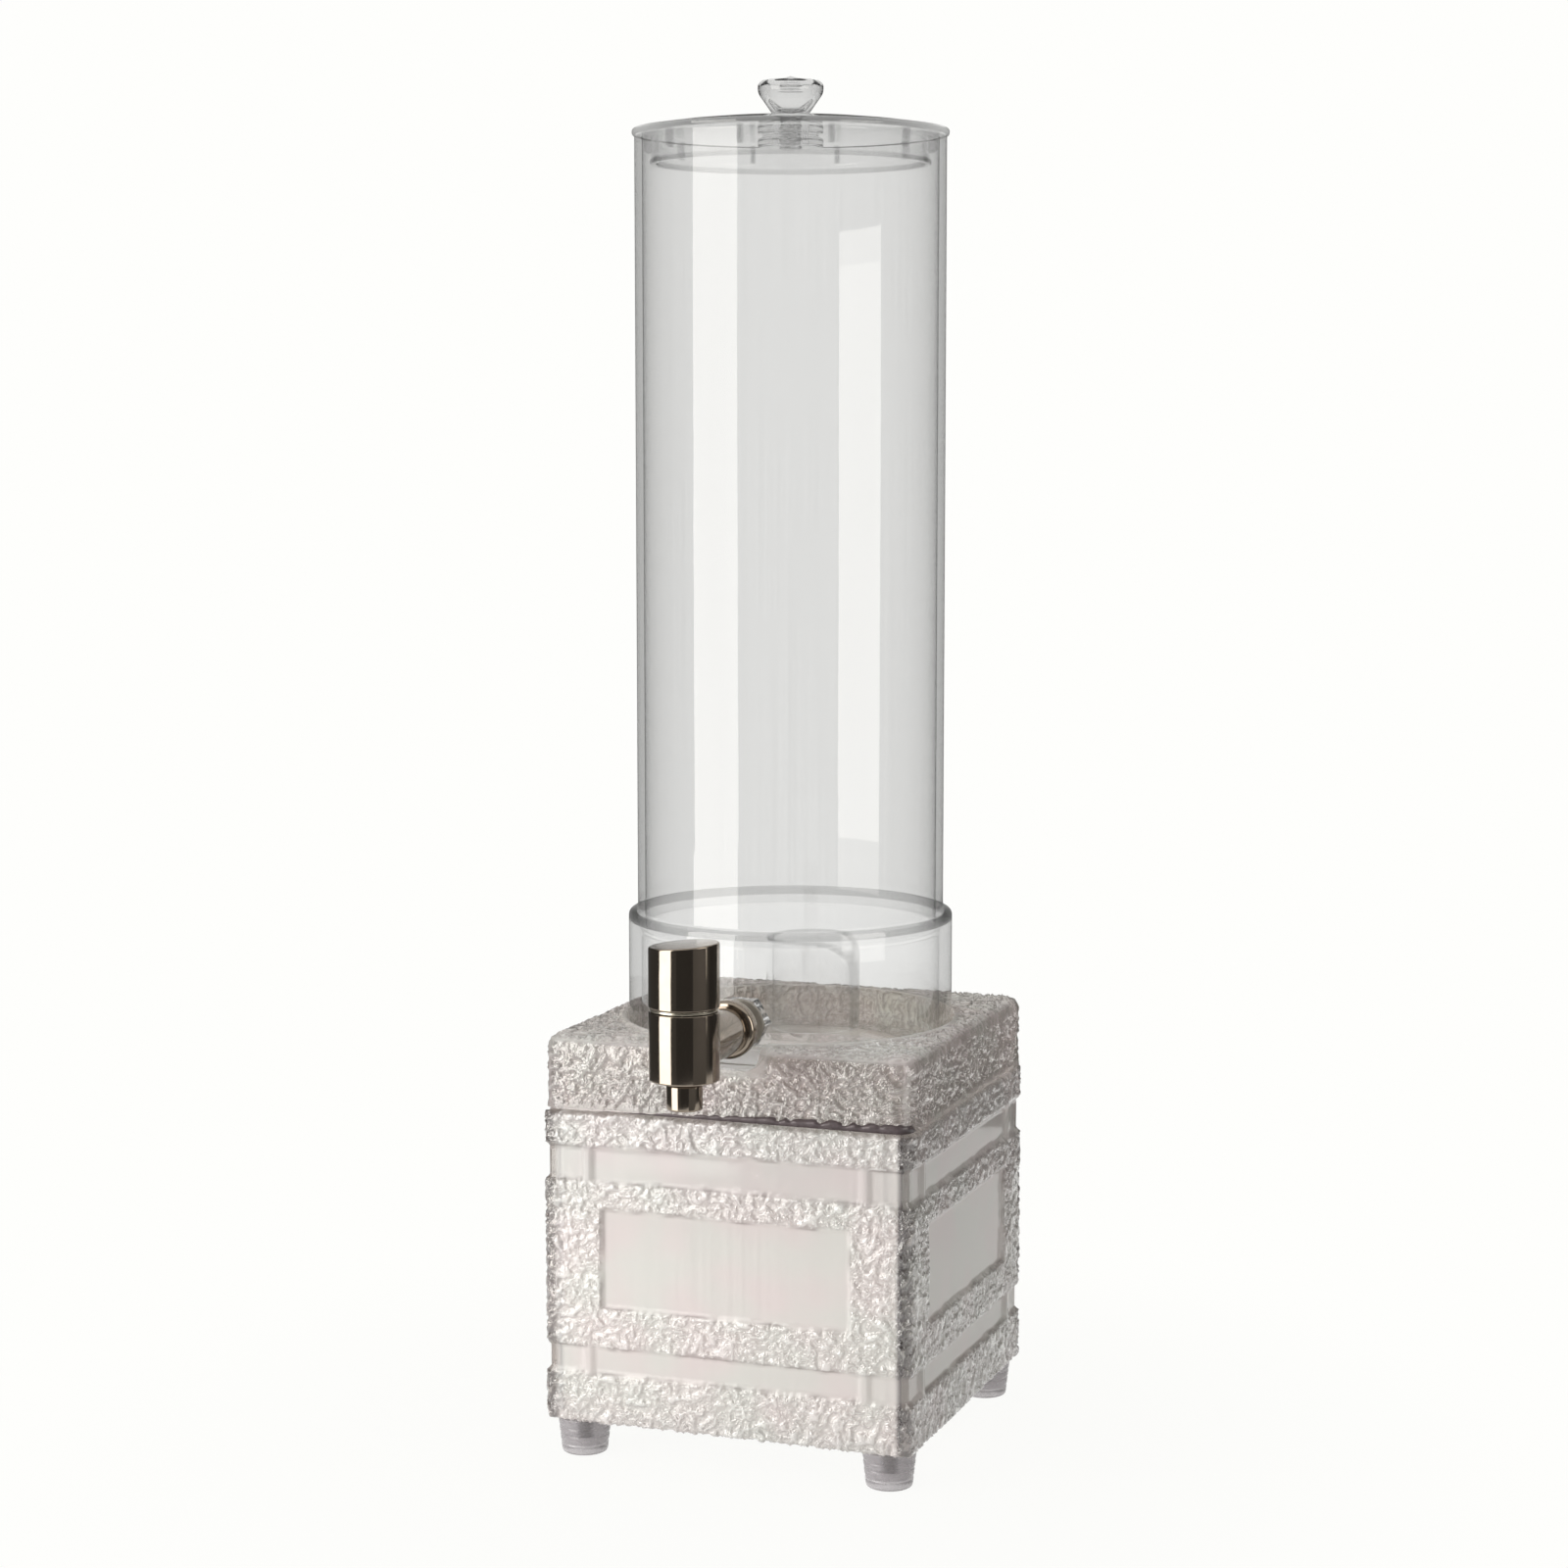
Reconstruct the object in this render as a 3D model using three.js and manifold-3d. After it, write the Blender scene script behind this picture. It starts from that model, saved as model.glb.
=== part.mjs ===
// Drinks tower: a clear tank with a lift-off lid stands in the well of a square ice-look base,
// and a turned metal tap goes through the tank's collar at the front.
// Millimetres, +Z up, front towards -Y. The origin is on the table, under the middle of the outline.

import * as THREE from 'three';
import { mergeVertices } from 'three/addons/utils/BufferGeometryUtils.js';
import Module from 'manifold-3d';

const wasm = await Module();
wasm.setup();

// Clearances
const SEAT = 0.3; // between pieces that rest on, or are bonded to, each other
const RUN = 0.4; // radial play round a turning or sliding piece
const TANK_PLAY = 0.8; // radial play of the tank in the base's well
const LID_PLAY = 0.5; // radial play of the lid's ribs in the tube

// Modelling values: facets round a full turn, how far a cutting shape runs past the face that it cuts,
// and how close two vertices of one mesh are when they are the same point
const LARGE_FACETS = 48;
const SMALL_FACETS = 24;
const BOLT_FACETS = 12;
const CORNER_STEPS = 3;
const OVERCUT = 1;
const SAME_POINT = 1e-4;

// Feet and their screws
const FOOT_HEIGHT = 18;
const FOOT_TOP_DIA = 26;
const FOOT_TIP_DIA = 22;
const FOOT_EDGE = 1.2;
const FOOT_INSET = 15.3; // centre of a foot, in from the base's sides
const SCREW_DIA = 5;
const SCREW_HEAD_DIA = 9.5;
const SCREW_HEAD_HEIGHT = 3.2;
const SCREW_GRIP = 11; // length inside the foot

// Housing: a square shell with raised bands, sunk strips and a window on each side
const BASE_WIDTH = 186.6;
const SHELL_WALL = 4;
const RELIEF = 2.5; // how far the bands stand proud of the strips and windows
const BAND_CORNER = 5;
const BAND_EDGE = 1.5;
const BOTTOM_BAND = 25;
const LOWER_STRIP = 13;
const FRAME_SILL = 19.5;
const WINDOW_HEIGHT = 48;
const FRAME_HEAD = 14;
const UPPER_STRIP = 16.5;
const TOP_BAND = 17;
const WINDOW_WIDTH = 125;
const STRIP_RIB_WIDTH = 5;
const STRIP_RIB_INSET = 23.3; // centre of a strip's end rib, in from the corner
const STRIP_RIB_RELIEF = 1.5;
const INNER_CORNER = 2.5; // of the shell's inside, and of what fits in it

// Floor plate and white liner inside the housing
const PLATE_THICKNESS = 5;
const LINER_WALL = 2.5;

// Cap of the base, with the well that the tank stands in
const CAP_HEIGHT = 36;
const CAP_WALL = 7;
const CAP_CORNER = 9;
const CAP_EDGE = 5;
const DECK_THICKNESS = 5;
const SEAM_GROOVE = 3;
const LIP_DEPTH = 1.7; // the cap's lip inside the top of the housing
const LIP_WALL = 2.4;
const LIP_FLANGE = 4;
const WELL_DEPTH = 18;
const WELL_WALL = 3;
const LEDGE_WIDTH = 18;
const LEDGE_THICKNESS = 4;
const NOTCH_WIDTH = 42;
const NOTCH_DEPTH = 15.5;
const NOTCH_CORNER = 7;

// Tank: collar cup, tube, its seal and the core seat on the floor
const COLLAR_DIA = 159;
const COLLAR_WALL = 6.5;
const COLLAR_HEIGHT = 70;
const COLLAR_FLOOR = 5;
const COLLAR_EDGE = 2;
const SOCKET_DEPTH = 10;
const TUBE_DIA = 150;
const TUBE_WALL = 4;
const TUBE_LENGTH = 382;
const SEAL_THICKNESS = 1.5;
const CORE_SEAT_DIA = 47;
const CORE_SEAT_WALL = 3.5;
const CORE_SEAT_HEIGHT = 46;
const CORE_SEAT_LIP = 15; // radius that rounds its wall off at the right
const CORE_SEAT_BACK = 33; // behind the tank's axis

// Lid, knob and thumb nut
const LID_DIA = 152.4;
const LID_THICKNESS = 3;
const LID_RISE = 6; // the middle of the lid above its rim
const SKIRT_DIA = 134;
const SKIRT_WALL = 2.5;
const SKIRT_DEPTH = 13.7;
const SKIRT_BEAD = 0.8;
const SKIRT_BEAD_HEIGHT = 1.8;
const LID_RIBS = 10;
const LID_RIB_WIDTH = 2.2;
const LID_RIB_HEIGHT = 8.3;
const KNOB_DIA = 31.5;
const KNOB_NECK_DIA = 16;
const KNOB_CONE = 11; // height of the flare from the neck out to the girdle
const KNOB_GIRDLE = 2.6; // height of the upright ring above the flare
const KNOB_SHOULDER = 3;
const KNOB_CROWN = 1; // rise from the shoulder to the button
const KNOB_BUTTON_DIA = 10;
const KNOB_BUTTON = 1.4; // rise of the small domed button
const STUD_DIA = 11;
const STUD_CHAMFER = 1;
const STUD_TAIL = 1; // stud left past the nut
const NUT_DIA = 31.6;
const NUT_HEIGHT = 11;
const NUT_GROOVE = 2.2;
const NUT_CHAMFER = 1;

// Tap: barrel, cap, nozzle, shank and the valve inside
const TAP_REACH = 141; // tap's axis in front of the tank's
const TAP_RISE = 7; // shank's axis above the deck
const BARREL_DIA = 32.6;
const BODY_ABOVE = 18.3; // body's top above the shank's axis
const BODY_BELOW = 13.5;
const BODY_CHAMFER = 0.8;
const BODY_CHAMFER_WIDTH = 0.8;
const CHAMBER_DIA = 14.6;
const CHAMBER_ABOVE = 9;
const SPIGOT_DIA = 23.2; // the body's neck that the cap turns on
const SPIGOT_HEIGHT = 11.8;
const SPIGOT_GROOVE = 2;
const SPIGOT_GROOVE_WIDTH = 4.8;
const SEAM_RING = 1.4;
const SEAM_RING_INSET = 0.7;
const TAP_CAP_HEIGHT = 28.6; // on its axis
const TAP_CAP_SLANT = 4.5; // degrees, down towards the left
const SET_SCREW_DIA = 4;
const SET_SCREW_SUNK = 0.5;
const STEM_DIA = 8;
const STEM_IN_CAP = 5.5;
const STEM_CHAMFER = 1;
const VALVE_LIFT = 4;
const PLUNGER_HEAD_DIA = 12;
const PLUNGER_HEAD = 3.5;
const PLUNGER_SEAL = 1.8;
const O_RING = 2; // section of the stem's ring
const NOZZLE_DIA = 16.8;
const NOZZLE_LENGTH = 13.6;
const NOZZLE_NECK_DIA = 14.8;
const NOZZLE_NECK = 1.6;
const NOZZLE_SPIGOT = 3.5;
const NOZZLE_BORE = 9;
const NOZZLE_MOUTH = 12.6;
const NOZZLE_MOUTH_DEPTH = 5;
const NOZZLE_MOUTH_TAPER = 1.5;
const NOZZLE_EDGE = 1;
const SHANK_DIA = 23;
const THREAD_DIA = 16;
const SHANK_BORE = 10.4;
const SHANK_TAIL = 3.5; // thread left past the nut
const FLANGE_DIA = 28;
const FLANGE_THICKNESS = 6.5;
const FLANGE_EDGE = 2.5;
const WASHER_DIA = 24;
const WASHER_THICKNESS = 3;
const TAP_NUT_FLATS = 22;
const TAP_NUT_HEIGHT = 7.5;

// Heights, from the table up
const housingZ = FOOT_HEIGHT;
const plateTop = housingZ + PLATE_THICKNESS;
const lowerStripZ = housingZ + BOTTOM_BAND;
const frameZ = lowerStripZ + LOWER_STRIP;
const windowZ = frameZ + FRAME_SILL;
const upperStripZ = windowZ + WINDOW_HEIGHT + FRAME_HEAD;
const topBandZ = upperStripZ + UPPER_STRIP;
const housingTop = topBandZ + TOP_BAND;
const capZ = housingTop + SEAT;
const lipZ = capZ - LIP_DEPTH;
const linerTop = lipZ - SEAT;
const deckZ = capZ + CAP_HEIGHT;
const ledgeZ = deckZ - WELL_DEPTH;
const collarZ = ledgeZ + SEAT;
const tankFloorZ = collarZ + COLLAR_FLOOR;
const collarTop = collarZ + COLLAR_HEIGHT;
const socketZ = collarTop - SOCKET_DEPTH;
const sealZ = socketZ + SEAT;
const tubeZ = sealZ + SEAL_THICKNESS + SEAT;
const tubeTop = tubeZ + TUBE_LENGTH;
const lidZ = tubeTop + SEAT;
const lidTop = lidZ + LID_THICKNESS + LID_RISE;
const tapZ = deckZ + TAP_RISE;
const bodyZ = tapZ - BODY_BELOW;
const bodyTop = tapZ + BODY_ABOVE;
const spigotTop = bodyTop + SPIGOT_HEIGHT;
const seamRingZ = bodyTop + SEAT;
const tapCapZ = seamRingZ + SEAM_RING + SEAT;
const valveSeatZ = bodyZ + NOZZLE_SPIGOT;
const plungerSealZ = valveSeatZ + SEAT;
const plungerZ = plungerSealZ + PLUNGER_SEAL + SEAT;
const stemTop = spigotTop + STEM_IN_CAP;

// Radii and half widths that several pieces share
const baseHalf = BASE_WIDTH / 2;
const stripHalf = baseHalf - RELIEF;
const stripCorner = BAND_CORNER - RELIEF / 2;
const shellInner = stripHalf - SHELL_WALL;
const footAt = baseHalf - FOOT_INSET;
const screwHole = SCREW_DIA / 2 + SEAT;
const collarRadius = COLLAR_DIA / 2;
const collarInner = collarRadius - COLLAR_WALL;
const tubeRadius = TUBE_DIA / 2;
const tubeInner = tubeRadius - TUBE_WALL;
const wellRadius = collarRadius + TANK_PLAY;
const barrelRadius = BARREL_DIA / 2;
const chamberRadius = CHAMBER_DIA / 2;
const stemHole = STEM_DIA / 2 + RUN;
const spigotRadius = SPIGOT_DIA / 2;
const threadHole = THREAD_DIA / 2 + SEAT;
const lidHole = STUD_DIA / 2 + SEAT;

// The tower's axis stands behind the origin, because the tap reaches out in front
const towerY = (TAP_REACH + barrelRadius - baseHalf) / 2;
const tapY = towerY - TAP_REACH;

// Geometry helpers

// A copy with shared vertices, no collapsed triangles and its faces turned outwards
function closed(geometry) {
  const bare = geometry.clone();
  bare.deleteAttribute('normal');
  bare.deleteAttribute('uv');
  const merged = mergeVertices(bare, SAME_POINT);
  const at = merged.attributes.position;
  const corners = [];
  for (let i = 0; i < merged.index.count; i += 3) {
    const triangle = [0, 1, 2].map((k) => merged.index.getX(i + k));
    if (new Set(triangle).size === 3) corners.push(triangle);
  }
  const point = (i) => new THREE.Vector3().fromBufferAttribute(at, i);
  const volume = corners.reduce((sum, [a, b, c]) => sum + point(a).dot(point(b).cross(point(c))), 0);
  const outward = volume < 0 ? corners.map(([a, b, c]) => [a, c, b]) : corners;
  merged.setIndex(outward.flat());
  return merged;
}

function solid(geometry) {
  const shape = closed(geometry);
  const vertProperties = Float32Array.from(shape.attributes.position.array);
  const triVerts = Uint32Array.from(shape.index.array);
  return new wasm.Manifold(new wasm.Mesh({ numProp: 3, vertProperties, triVerts }));
}

function geometryOf(body) {
  const mesh = body.getMesh();
  const geometry = new THREE.BufferGeometry();
  geometry.setAttribute('position', new THREE.Float32BufferAttribute(mesh.vertProperties, 3));
  geometry.setIndex([...mesh.triVerts]);
  return geometry;
}

// A profile of [radius, height] pairs turned about the Z axis
function turned(profile, facets) {
  const points = profile.map(([radius, height]) => new THREE.Vector2(radius, height));
  return new THREE.LatheGeometry(points, facets).rotateX(Math.PI / 2);
}

// A profile of [radius, distance] pairs turned about the tap's shank, which points to the front
function turnedForward(profile, facets) {
  const points = profile.map(([radius, distance]) => new THREE.Vector2(radius, distance));
  return new THREE.LatheGeometry(points, facets).rotateX(Math.PI).translate(0, 0, tapZ);
}

// A closed profile for a plain ring
function ringProfile(inner, outer, from, to) {
  return [[inner, from], [outer, from], [outer, to], [inner, to], [inner, from]];
}

// A quarter round in a profile, from one angle to another in degrees
function round(radius, height, size, from, to, steps = CORNER_STEPS) {
  return Array.from({ length: steps + 1 }, (_, i) => {
    const angle = THREE.MathUtils.degToRad(from + ((to - from) * i) / steps);
    return [radius + size * Math.cos(angle), height + size * Math.sin(angle)];
  });
}

function roundedSquare(half, corner, ShapeOrPath = THREE.Shape) {
  const outline = new ShapeOrPath();
  const middle = half - corner;
  outline.moveTo(-middle, -half);
  outline.absarc(middle, -middle, corner, -Math.PI / 2, 0);
  outline.absarc(middle, middle, corner, 0, Math.PI / 2);
  outline.absarc(-middle, middle, corner, Math.PI / 2, Math.PI);
  outline.absarc(-middle, -middle, corner, Math.PI, 1.5 * Math.PI);
  outline.closePath();
  return outline;
}

function prism(shape, from, to, curveSegments = CORNER_STEPS) {
  const geometry = new THREE.ExtrudeGeometry(shape, { depth: to - from, bevelEnabled: false, curveSegments });
  return geometry.translate(0, 0, from);
}

// A prism whose top and bottom edges are rounded inside its own outline
function softPrism(shape, from, to, edge, bevelSegments) {
  const geometry = new THREE.ExtrudeGeometry(shape, {
    depth: to - from - 2 * edge,
    bevelThickness: edge,
    bevelSize: edge,
    bevelOffset: -edge,
    bevelSegments,
    curveSegments: CORNER_STEPS,
  });
  return geometry.translate(0, 0, from + edge);
}

function rod(radius, from, to, facets) {
  return turned([[0, from], [radius, from], [radius, to], [0, to]], facets);
}

function rodForward(radius, from, to, facets) {
  return turnedForward([[0, from], [radius, from], [radius, to], [0, to]], facets);
}

// The four sides of the base, as turns about the tower's axis
const sides = [0, 1, 2, 3].map((i) => (i * Math.PI) / 2);

// Feet and screws

function foot() {
  const tip = FOOT_TIP_DIA / 2;
  const top = FOOT_HEIGHT - SEAT;
  const holeEnd = FOOT_HEIGHT - SCREW_GRIP - SEAT;
  return turned([
    [0, 0], [tip - FOOT_EDGE, 0], [tip, FOOT_EDGE], [FOOT_TOP_DIA / 2, top],
    [screwHole, top], [screwHole, holeEnd], [0, holeEnd],
  ], SMALL_FACETS);
}

function footScrew() {
  const head = SCREW_HEAD_DIA / 2;
  const seat = plateTop + SEAT;
  const top = seat + SCREW_HEAD_HEIGHT;
  return turned([
    [0, FOOT_HEIGHT - SCREW_GRIP], [SCREW_DIA / 2, FOOT_HEIGHT - SCREW_GRIP], [SCREW_DIA / 2, seat],
    [head, seat], [head, top - SCREW_HEAD_HEIGHT / 2], [head / 2, top], [0, top],
  ], BOLT_FACETS);
}

// Base pieces

function basePlate() {
  const shape = roundedSquare(shellInner - SEAT, INNER_CORNER);
  for (const x of [-footAt, footAt]) {
    for (const y of [-footAt, footAt]) {
      shape.holes.push(new THREE.Path().absarc(x, y, screwHole, 0, 2 * Math.PI));
    }
  }
  return prism(shape, housingZ, plateTop, BOLT_FACETS / 2);
}

function baseLiner() {
  const outer = shellInner - SEAT;
  const shape = roundedSquare(outer, INNER_CORNER);
  shape.holes.push(roundedSquare(outer - LINER_WALL, INNER_CORNER / 2, THREE.Path));
  return prism(shape, plateTop + SEAT, linerTop);
}

function baseHousing() {
  const band = roundedSquare(baseHalf, BAND_CORNER);
  const bands = [[housingZ, lowerStripZ], [frameZ, upperStripZ], [topBandZ, housingTop]];
  let body = solid(prism(roundedSquare(stripHalf, stripCorner), housingZ, housingTop));
  for (const [from, to] of bands) {
    body = body.add(solid(softPrism(band, from, to, BAND_EDGE, 2)));
  }
  const pocket = new THREE.BoxGeometry(WINDOW_WIDTH, 2 * RELIEF, WINDOW_HEIGHT);
  pocket.translate(0, -stripHalf - RELIEF, windowZ + WINDOW_HEIGHT / 2);
  for (const side of sides) {
    body = body.subtract(solid(pocket.clone().rotateZ(side)));
    for (const [from, height] of [[lowerStripZ, LOWER_STRIP], [upperStripZ, UPPER_STRIP]]) {
      for (const x of [STRIP_RIB_INSET - baseHalf, baseHalf - STRIP_RIB_INSET]) {
        const rib = new THREE.BoxGeometry(STRIP_RIB_WIDTH, 2 * STRIP_RIB_RELIEF, height + 2 * BAND_EDGE);
        rib.translate(x, -stripHalf, from + height / 2).rotateZ(side);
        body = body.add(solid(rib));
      }
    }
  }
  const inside = prism(roundedSquare(shellInner, INNER_CORNER), housingZ - OVERCUT, housingTop + OVERCUT);
  return geometryOf(body.subtract(solid(inside)));
}

function baseCap() {
  const inner = baseHalf - CAP_WALL;
  const lipOuter = shellInner - SEAT;
  const lipInner = lipOuter - LIP_WALL;
  const ceiling = deckZ - DECK_THICKNESS;
  const wellOuter = wellRadius + WELL_WALL;
  // A block with soft edges all round, whose lower edge is cut away at the seam
  const outline = roundedSquare(baseHalf, CAP_CORNER);
  const block = solid(softPrism(outline, capZ - CAP_EDGE, deckZ, CAP_EDGE, CORNER_STEPS));
  const below = solid(prism(roundedSquare(BASE_WIDTH, CAP_CORNER), capZ - 2 * CAP_EDGE, capZ));
  const groove = roundedSquare(BASE_WIDTH, CAP_CORNER);
  groove.holes.push(roundedSquare(stripHalf, CAP_CORNER - RELIEF / 2, THREE.Path));
  const hollow = solid(prism(roundedSquare(inner, CAP_CORNER / 2), capZ - CAP_EDGE, ceiling));
  const flange = roundedSquare(baseHalf - CAP_WALL / 2, CAP_CORNER / 2);
  flange.holes.push(roundedSquare(lipInner, INNER_CORNER / 2, THREE.Path));
  const lip = roundedSquare(lipOuter, INNER_CORNER);
  lip.holes.push(roundedSquare(lipInner, INNER_CORNER / 2, THREE.Path));
  const well = ringProfile(wellRadius, wellOuter, ledgeZ - LEDGE_THICKNESS / 2, deckZ - DECK_THICKNESS / 2);
  const ledge = ringProfile(wellRadius - LEDGE_WIDTH, wellOuter, ledgeZ - LEDGE_THICKNESS, ledgeZ);
  // The notch that lets the tap's flange and shank drop in from above
  const notch = new THREE.Shape();
  const side = NOTCH_WIDTH / 2;
  const bottom = deckZ - NOTCH_DEPTH;
  const open = deckZ + CAP_EDGE;
  notch.moveTo(side, open);
  notch.lineTo(-side, open);
  notch.absarc(NOTCH_CORNER - side, bottom + NOTCH_CORNER, NOTCH_CORNER, Math.PI, 1.5 * Math.PI);
  notch.absarc(side - NOTCH_CORNER, bottom + NOTCH_CORNER, NOTCH_CORNER, 1.5 * Math.PI, 2 * Math.PI);
  notch.closePath();
  const notchCut = prism(notch, 0, baseHalf).rotateX(Math.PI / 2).translate(0, -baseHalf / 2, 0);
  // A block from the outer wall to the well, in which the notch is cut, so that it has a floor and sides
  const sillFront = baseHalf - CAP_WALL / 2;
  const sillBack = wellRadius - WELL_WALL;
  const sillZ = ledgeZ - LEDGE_THICKNESS;
  const sillTop = deckZ - DECK_THICKNESS / 2;
  const sill = new THREE.BoxGeometry(NOTCH_WIDTH + 2 * WELL_WALL, sillFront - sillBack, sillTop - sillZ);
  sill.translate(0, -(sillFront + sillBack) / 2, (sillTop + sillZ) / 2);
  const body = block
    .subtract(below)
    .subtract(solid(prism(groove, capZ - OVERCUT, capZ + SEAM_GROOVE)))
    .subtract(hollow)
    .add(solid(prism(flange, capZ, capZ + LIP_FLANGE)))
    .add(solid(prism(lip, lipZ, capZ + LIP_FLANGE / 2)))
    .add(solid(turned(well, LARGE_FACETS)))
    .add(solid(turned(ledge, LARGE_FACETS)))
    .add(solid(sill))
    .subtract(solid(rod(wellRadius, ledgeZ, deckZ + OVERCUT, LARGE_FACETS)))
    .subtract(solid(notchCut));
  return geometryOf(body);
}

// Tank pieces

function tankCollar() {
  const socket = tubeRadius + SEAT;
  const cup = turned([
    [0, collarZ], [collarRadius - COLLAR_EDGE, collarZ],
    ...round(collarRadius - COLLAR_EDGE, collarZ + COLLAR_EDGE, COLLAR_EDGE, -90, 0).slice(1),
    ...round(collarRadius - COLLAR_EDGE, collarTop - COLLAR_EDGE, COLLAR_EDGE, 0, 90),
    [socket, collarTop], [socket, socketZ], [collarInner, socketZ],
    ...round(collarInner - COLLAR_FLOOR, tankFloorZ + COLLAR_FLOOR, COLLAR_FLOOR, 0, -90),
    [0, tankFloorZ],
  ], LARGE_FACETS);
  const tapHole = rodForward(threadHole, collarInner - COLLAR_WALL, collarRadius + COLLAR_WALL, SMALL_FACETS);
  return geometryOf(solid(cup).subtract(solid(tapHole)));
}

function tubeSeal() {
  return turned(ringProfile(collarInner + SEAT, tubeRadius, sealZ, sealZ + SEAL_THICKNESS), LARGE_FACETS);
}

function tankTube() {
  return turned(ringProfile(tubeInner, tubeRadius, tubeZ, tubeTop), LARGE_FACETS);
}

function coreSeat() {
  const outer = CORE_SEAT_DIA / 2;
  const edge = CORE_SEAT_WALL / 2;
  const from = tankFloorZ + SEAT;
  const to = from + CORE_SEAT_HEIGHT;
  const cup = turned([
    [outer - CORE_SEAT_WALL, from], [outer, from], ...round(outer - edge, to - edge, edge, 0, 180, 4),
    [outer - CORE_SEAT_WALL, from],
  ], SMALL_FACETS);
  const side = new THREE.Shape();
  side.moveTo(-outer - OVERCUT, from - OVERCUT);
  side.lineTo(outer, from - OVERCUT);
  side.absarc(outer - CORE_SEAT_LIP, to - CORE_SEAT_LIP, CORE_SEAT_LIP, 0, Math.PI / 2);
  side.lineTo(-outer - OVERCUT, to);
  side.closePath();
  const kept = prism(side, -outer - OVERCUT, outer + OVERCUT).rotateX(Math.PI / 2);
  return geometryOf(solid(cup).intersect(solid(kept))).translate(0, CORE_SEAT_BACK, 0);
}

// Lid pieces

function lidDomeZ(radius) {
  const share = radius / (LID_DIA / 2);
  return lidTop - LID_RISE * share * share;
}

function lid() {
  const rim = LID_DIA / 2;
  const bead = LID_THICKNESS / 2;
  const skirt = SKIRT_DIA / 2;
  const skirtInner = skirt - SKIRT_WALL;
  const skirtZ = lidZ - SKIRT_DEPTH;
  const dome = (from, to, drop) => Array.from({ length: CORNER_STEPS + 1 }, (_, i) => {
    const radius = from + ((to - from) * i) / CORNER_STEPS;
    return [radius, lidDomeZ(radius) - drop];
  });
  const plate = solid(turned([
    ...dome(lidHole, rim - bead, 0), ...round(rim - bead, lidZ + bead, bead, 90, -90, 4).slice(1),
    [skirt, lidZ], [skirt, skirtZ + SKIRT_BEAD_HEIGHT + SKIRT_BEAD],
    [skirt + SKIRT_BEAD, skirtZ + SKIRT_BEAD_HEIGHT], [skirt + SKIRT_BEAD, skirtZ], [skirtInner, skirtZ],
    ...dome(skirtInner, lidHole, LID_THICKNESS), [lidHole, lidDomeZ(lidHole)],
  ], LARGE_FACETS));
  // Ribs that centre the skirt in the tube, with a lead-in at their lower ends
  const reach = tubeInner - LID_PLAY;
  const lead = (reach - skirt) / 2;
  const rib = new THREE.Shape([
    new THREE.Vector2(skirt - SKIRT_WALL / 2, lidZ + LID_THICKNESS / 2),
    new THREE.Vector2(reach, lidZ + LID_THICKNESS / 2),
    new THREE.Vector2(reach, lidZ - LID_RIB_HEIGHT + lead),
    new THREE.Vector2(reach - lead, lidZ - LID_RIB_HEIGHT),
    new THREE.Vector2(skirt - SKIRT_WALL / 2, lidZ - LID_RIB_HEIGHT),
  ]);
  const ribs = prism(rib, -LID_RIB_WIDTH / 2, LID_RIB_WIDTH / 2).rotateX(Math.PI / 2).rotateZ(-Math.PI / 2);
  let body = plate;
  for (let i = 0; i < LID_RIBS; i += 1) {
    body = body.add(solid(ribs.clone().rotateZ((2 * Math.PI * i) / LID_RIBS)));
  }
  return geometryOf(body);
}

// The nut seats under the dome at its own outer edge
const lidNutTop = lidDomeZ(NUT_DIA / 2) - LID_THICKNESS - SEAT;
const lidNutZ = lidNutTop - NUT_HEIGHT;

function lidKnob() {
  const foot = lidTop + SEAT;
  const wide = KNOB_DIA / 2;
  const neck = KNOB_NECK_DIA / 2;
  const stud = STUD_DIA / 2;
  const button = KNOB_BUTTON_DIA / 2;
  const studEnd = lidNutZ - STUD_TAIL;
  const girdle = foot + KNOB_CONE + KNOB_GIRDLE;
  const crown = girdle + KNOB_SHOULDER + KNOB_CROWN;
  const buttonZ = (radius) => crown + KNOB_BUTTON * (1 - (radius / button) ** 2);
  return turned([
    [0, studEnd], [stud - STUD_CHAMFER, studEnd], [stud, studEnd + STUD_CHAMFER], [stud, foot], [neck, foot],
    [wide, foot + KNOB_CONE], ...round(wide - KNOB_SHOULDER, girdle, KNOB_SHOULDER, 0, 90),
    ...[button, button / 2, 0].map((radius) => [radius, buttonZ(radius)]),
  ], SMALL_FACETS);
}

function lidNut() {
  const outer = NUT_DIA / 2;
  const edge = outer - NUT_CHAMFER;
  const middle = (lidNutTop + lidNutZ) / 2;
  const half = NUT_GROOVE / 2;
  return turned([
    [lidHole, lidNutZ], [edge, lidNutZ], [outer, lidNutZ + NUT_CHAMFER], [outer, middle - half],
    [outer - NUT_GROOVE, middle - half], [outer - NUT_GROOVE, middle + half], [outer, middle + half],
    [outer, lidNutTop - NUT_CHAMFER], [edge, lidNutTop], [lidHole, lidNutTop], [lidHole, lidNutZ],
  ], SMALL_FACETS);
}

// Tap pieces

const washerFace = collarRadius + SEAT + WASHER_THICKNESS;
const flangeBack = washerFace + SEAT;
const flangeFace = flangeBack + FLANGE_THICKNESS;
const shankBack = flangeFace + SEAT;
const innerWasherFace = collarInner - SEAT - WASHER_THICKNESS;
const nutFace = innerWasherFace - SEAT;
const nutBack = nutFace - TAP_NUT_HEIGHT;
const shankEnd = nutBack - SHANK_TAIL;

function tapOuterWasher() {
  const disc = turnedForward(ringProfile(threadHole, WASHER_DIA / 2, collarInner, washerFace), SMALL_FACETS);
  const wall = rod(collarRadius + SEAT, collarZ, collarTop, LARGE_FACETS);
  return geometryOf(solid(disc).subtract(solid(wall)));
}

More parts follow.
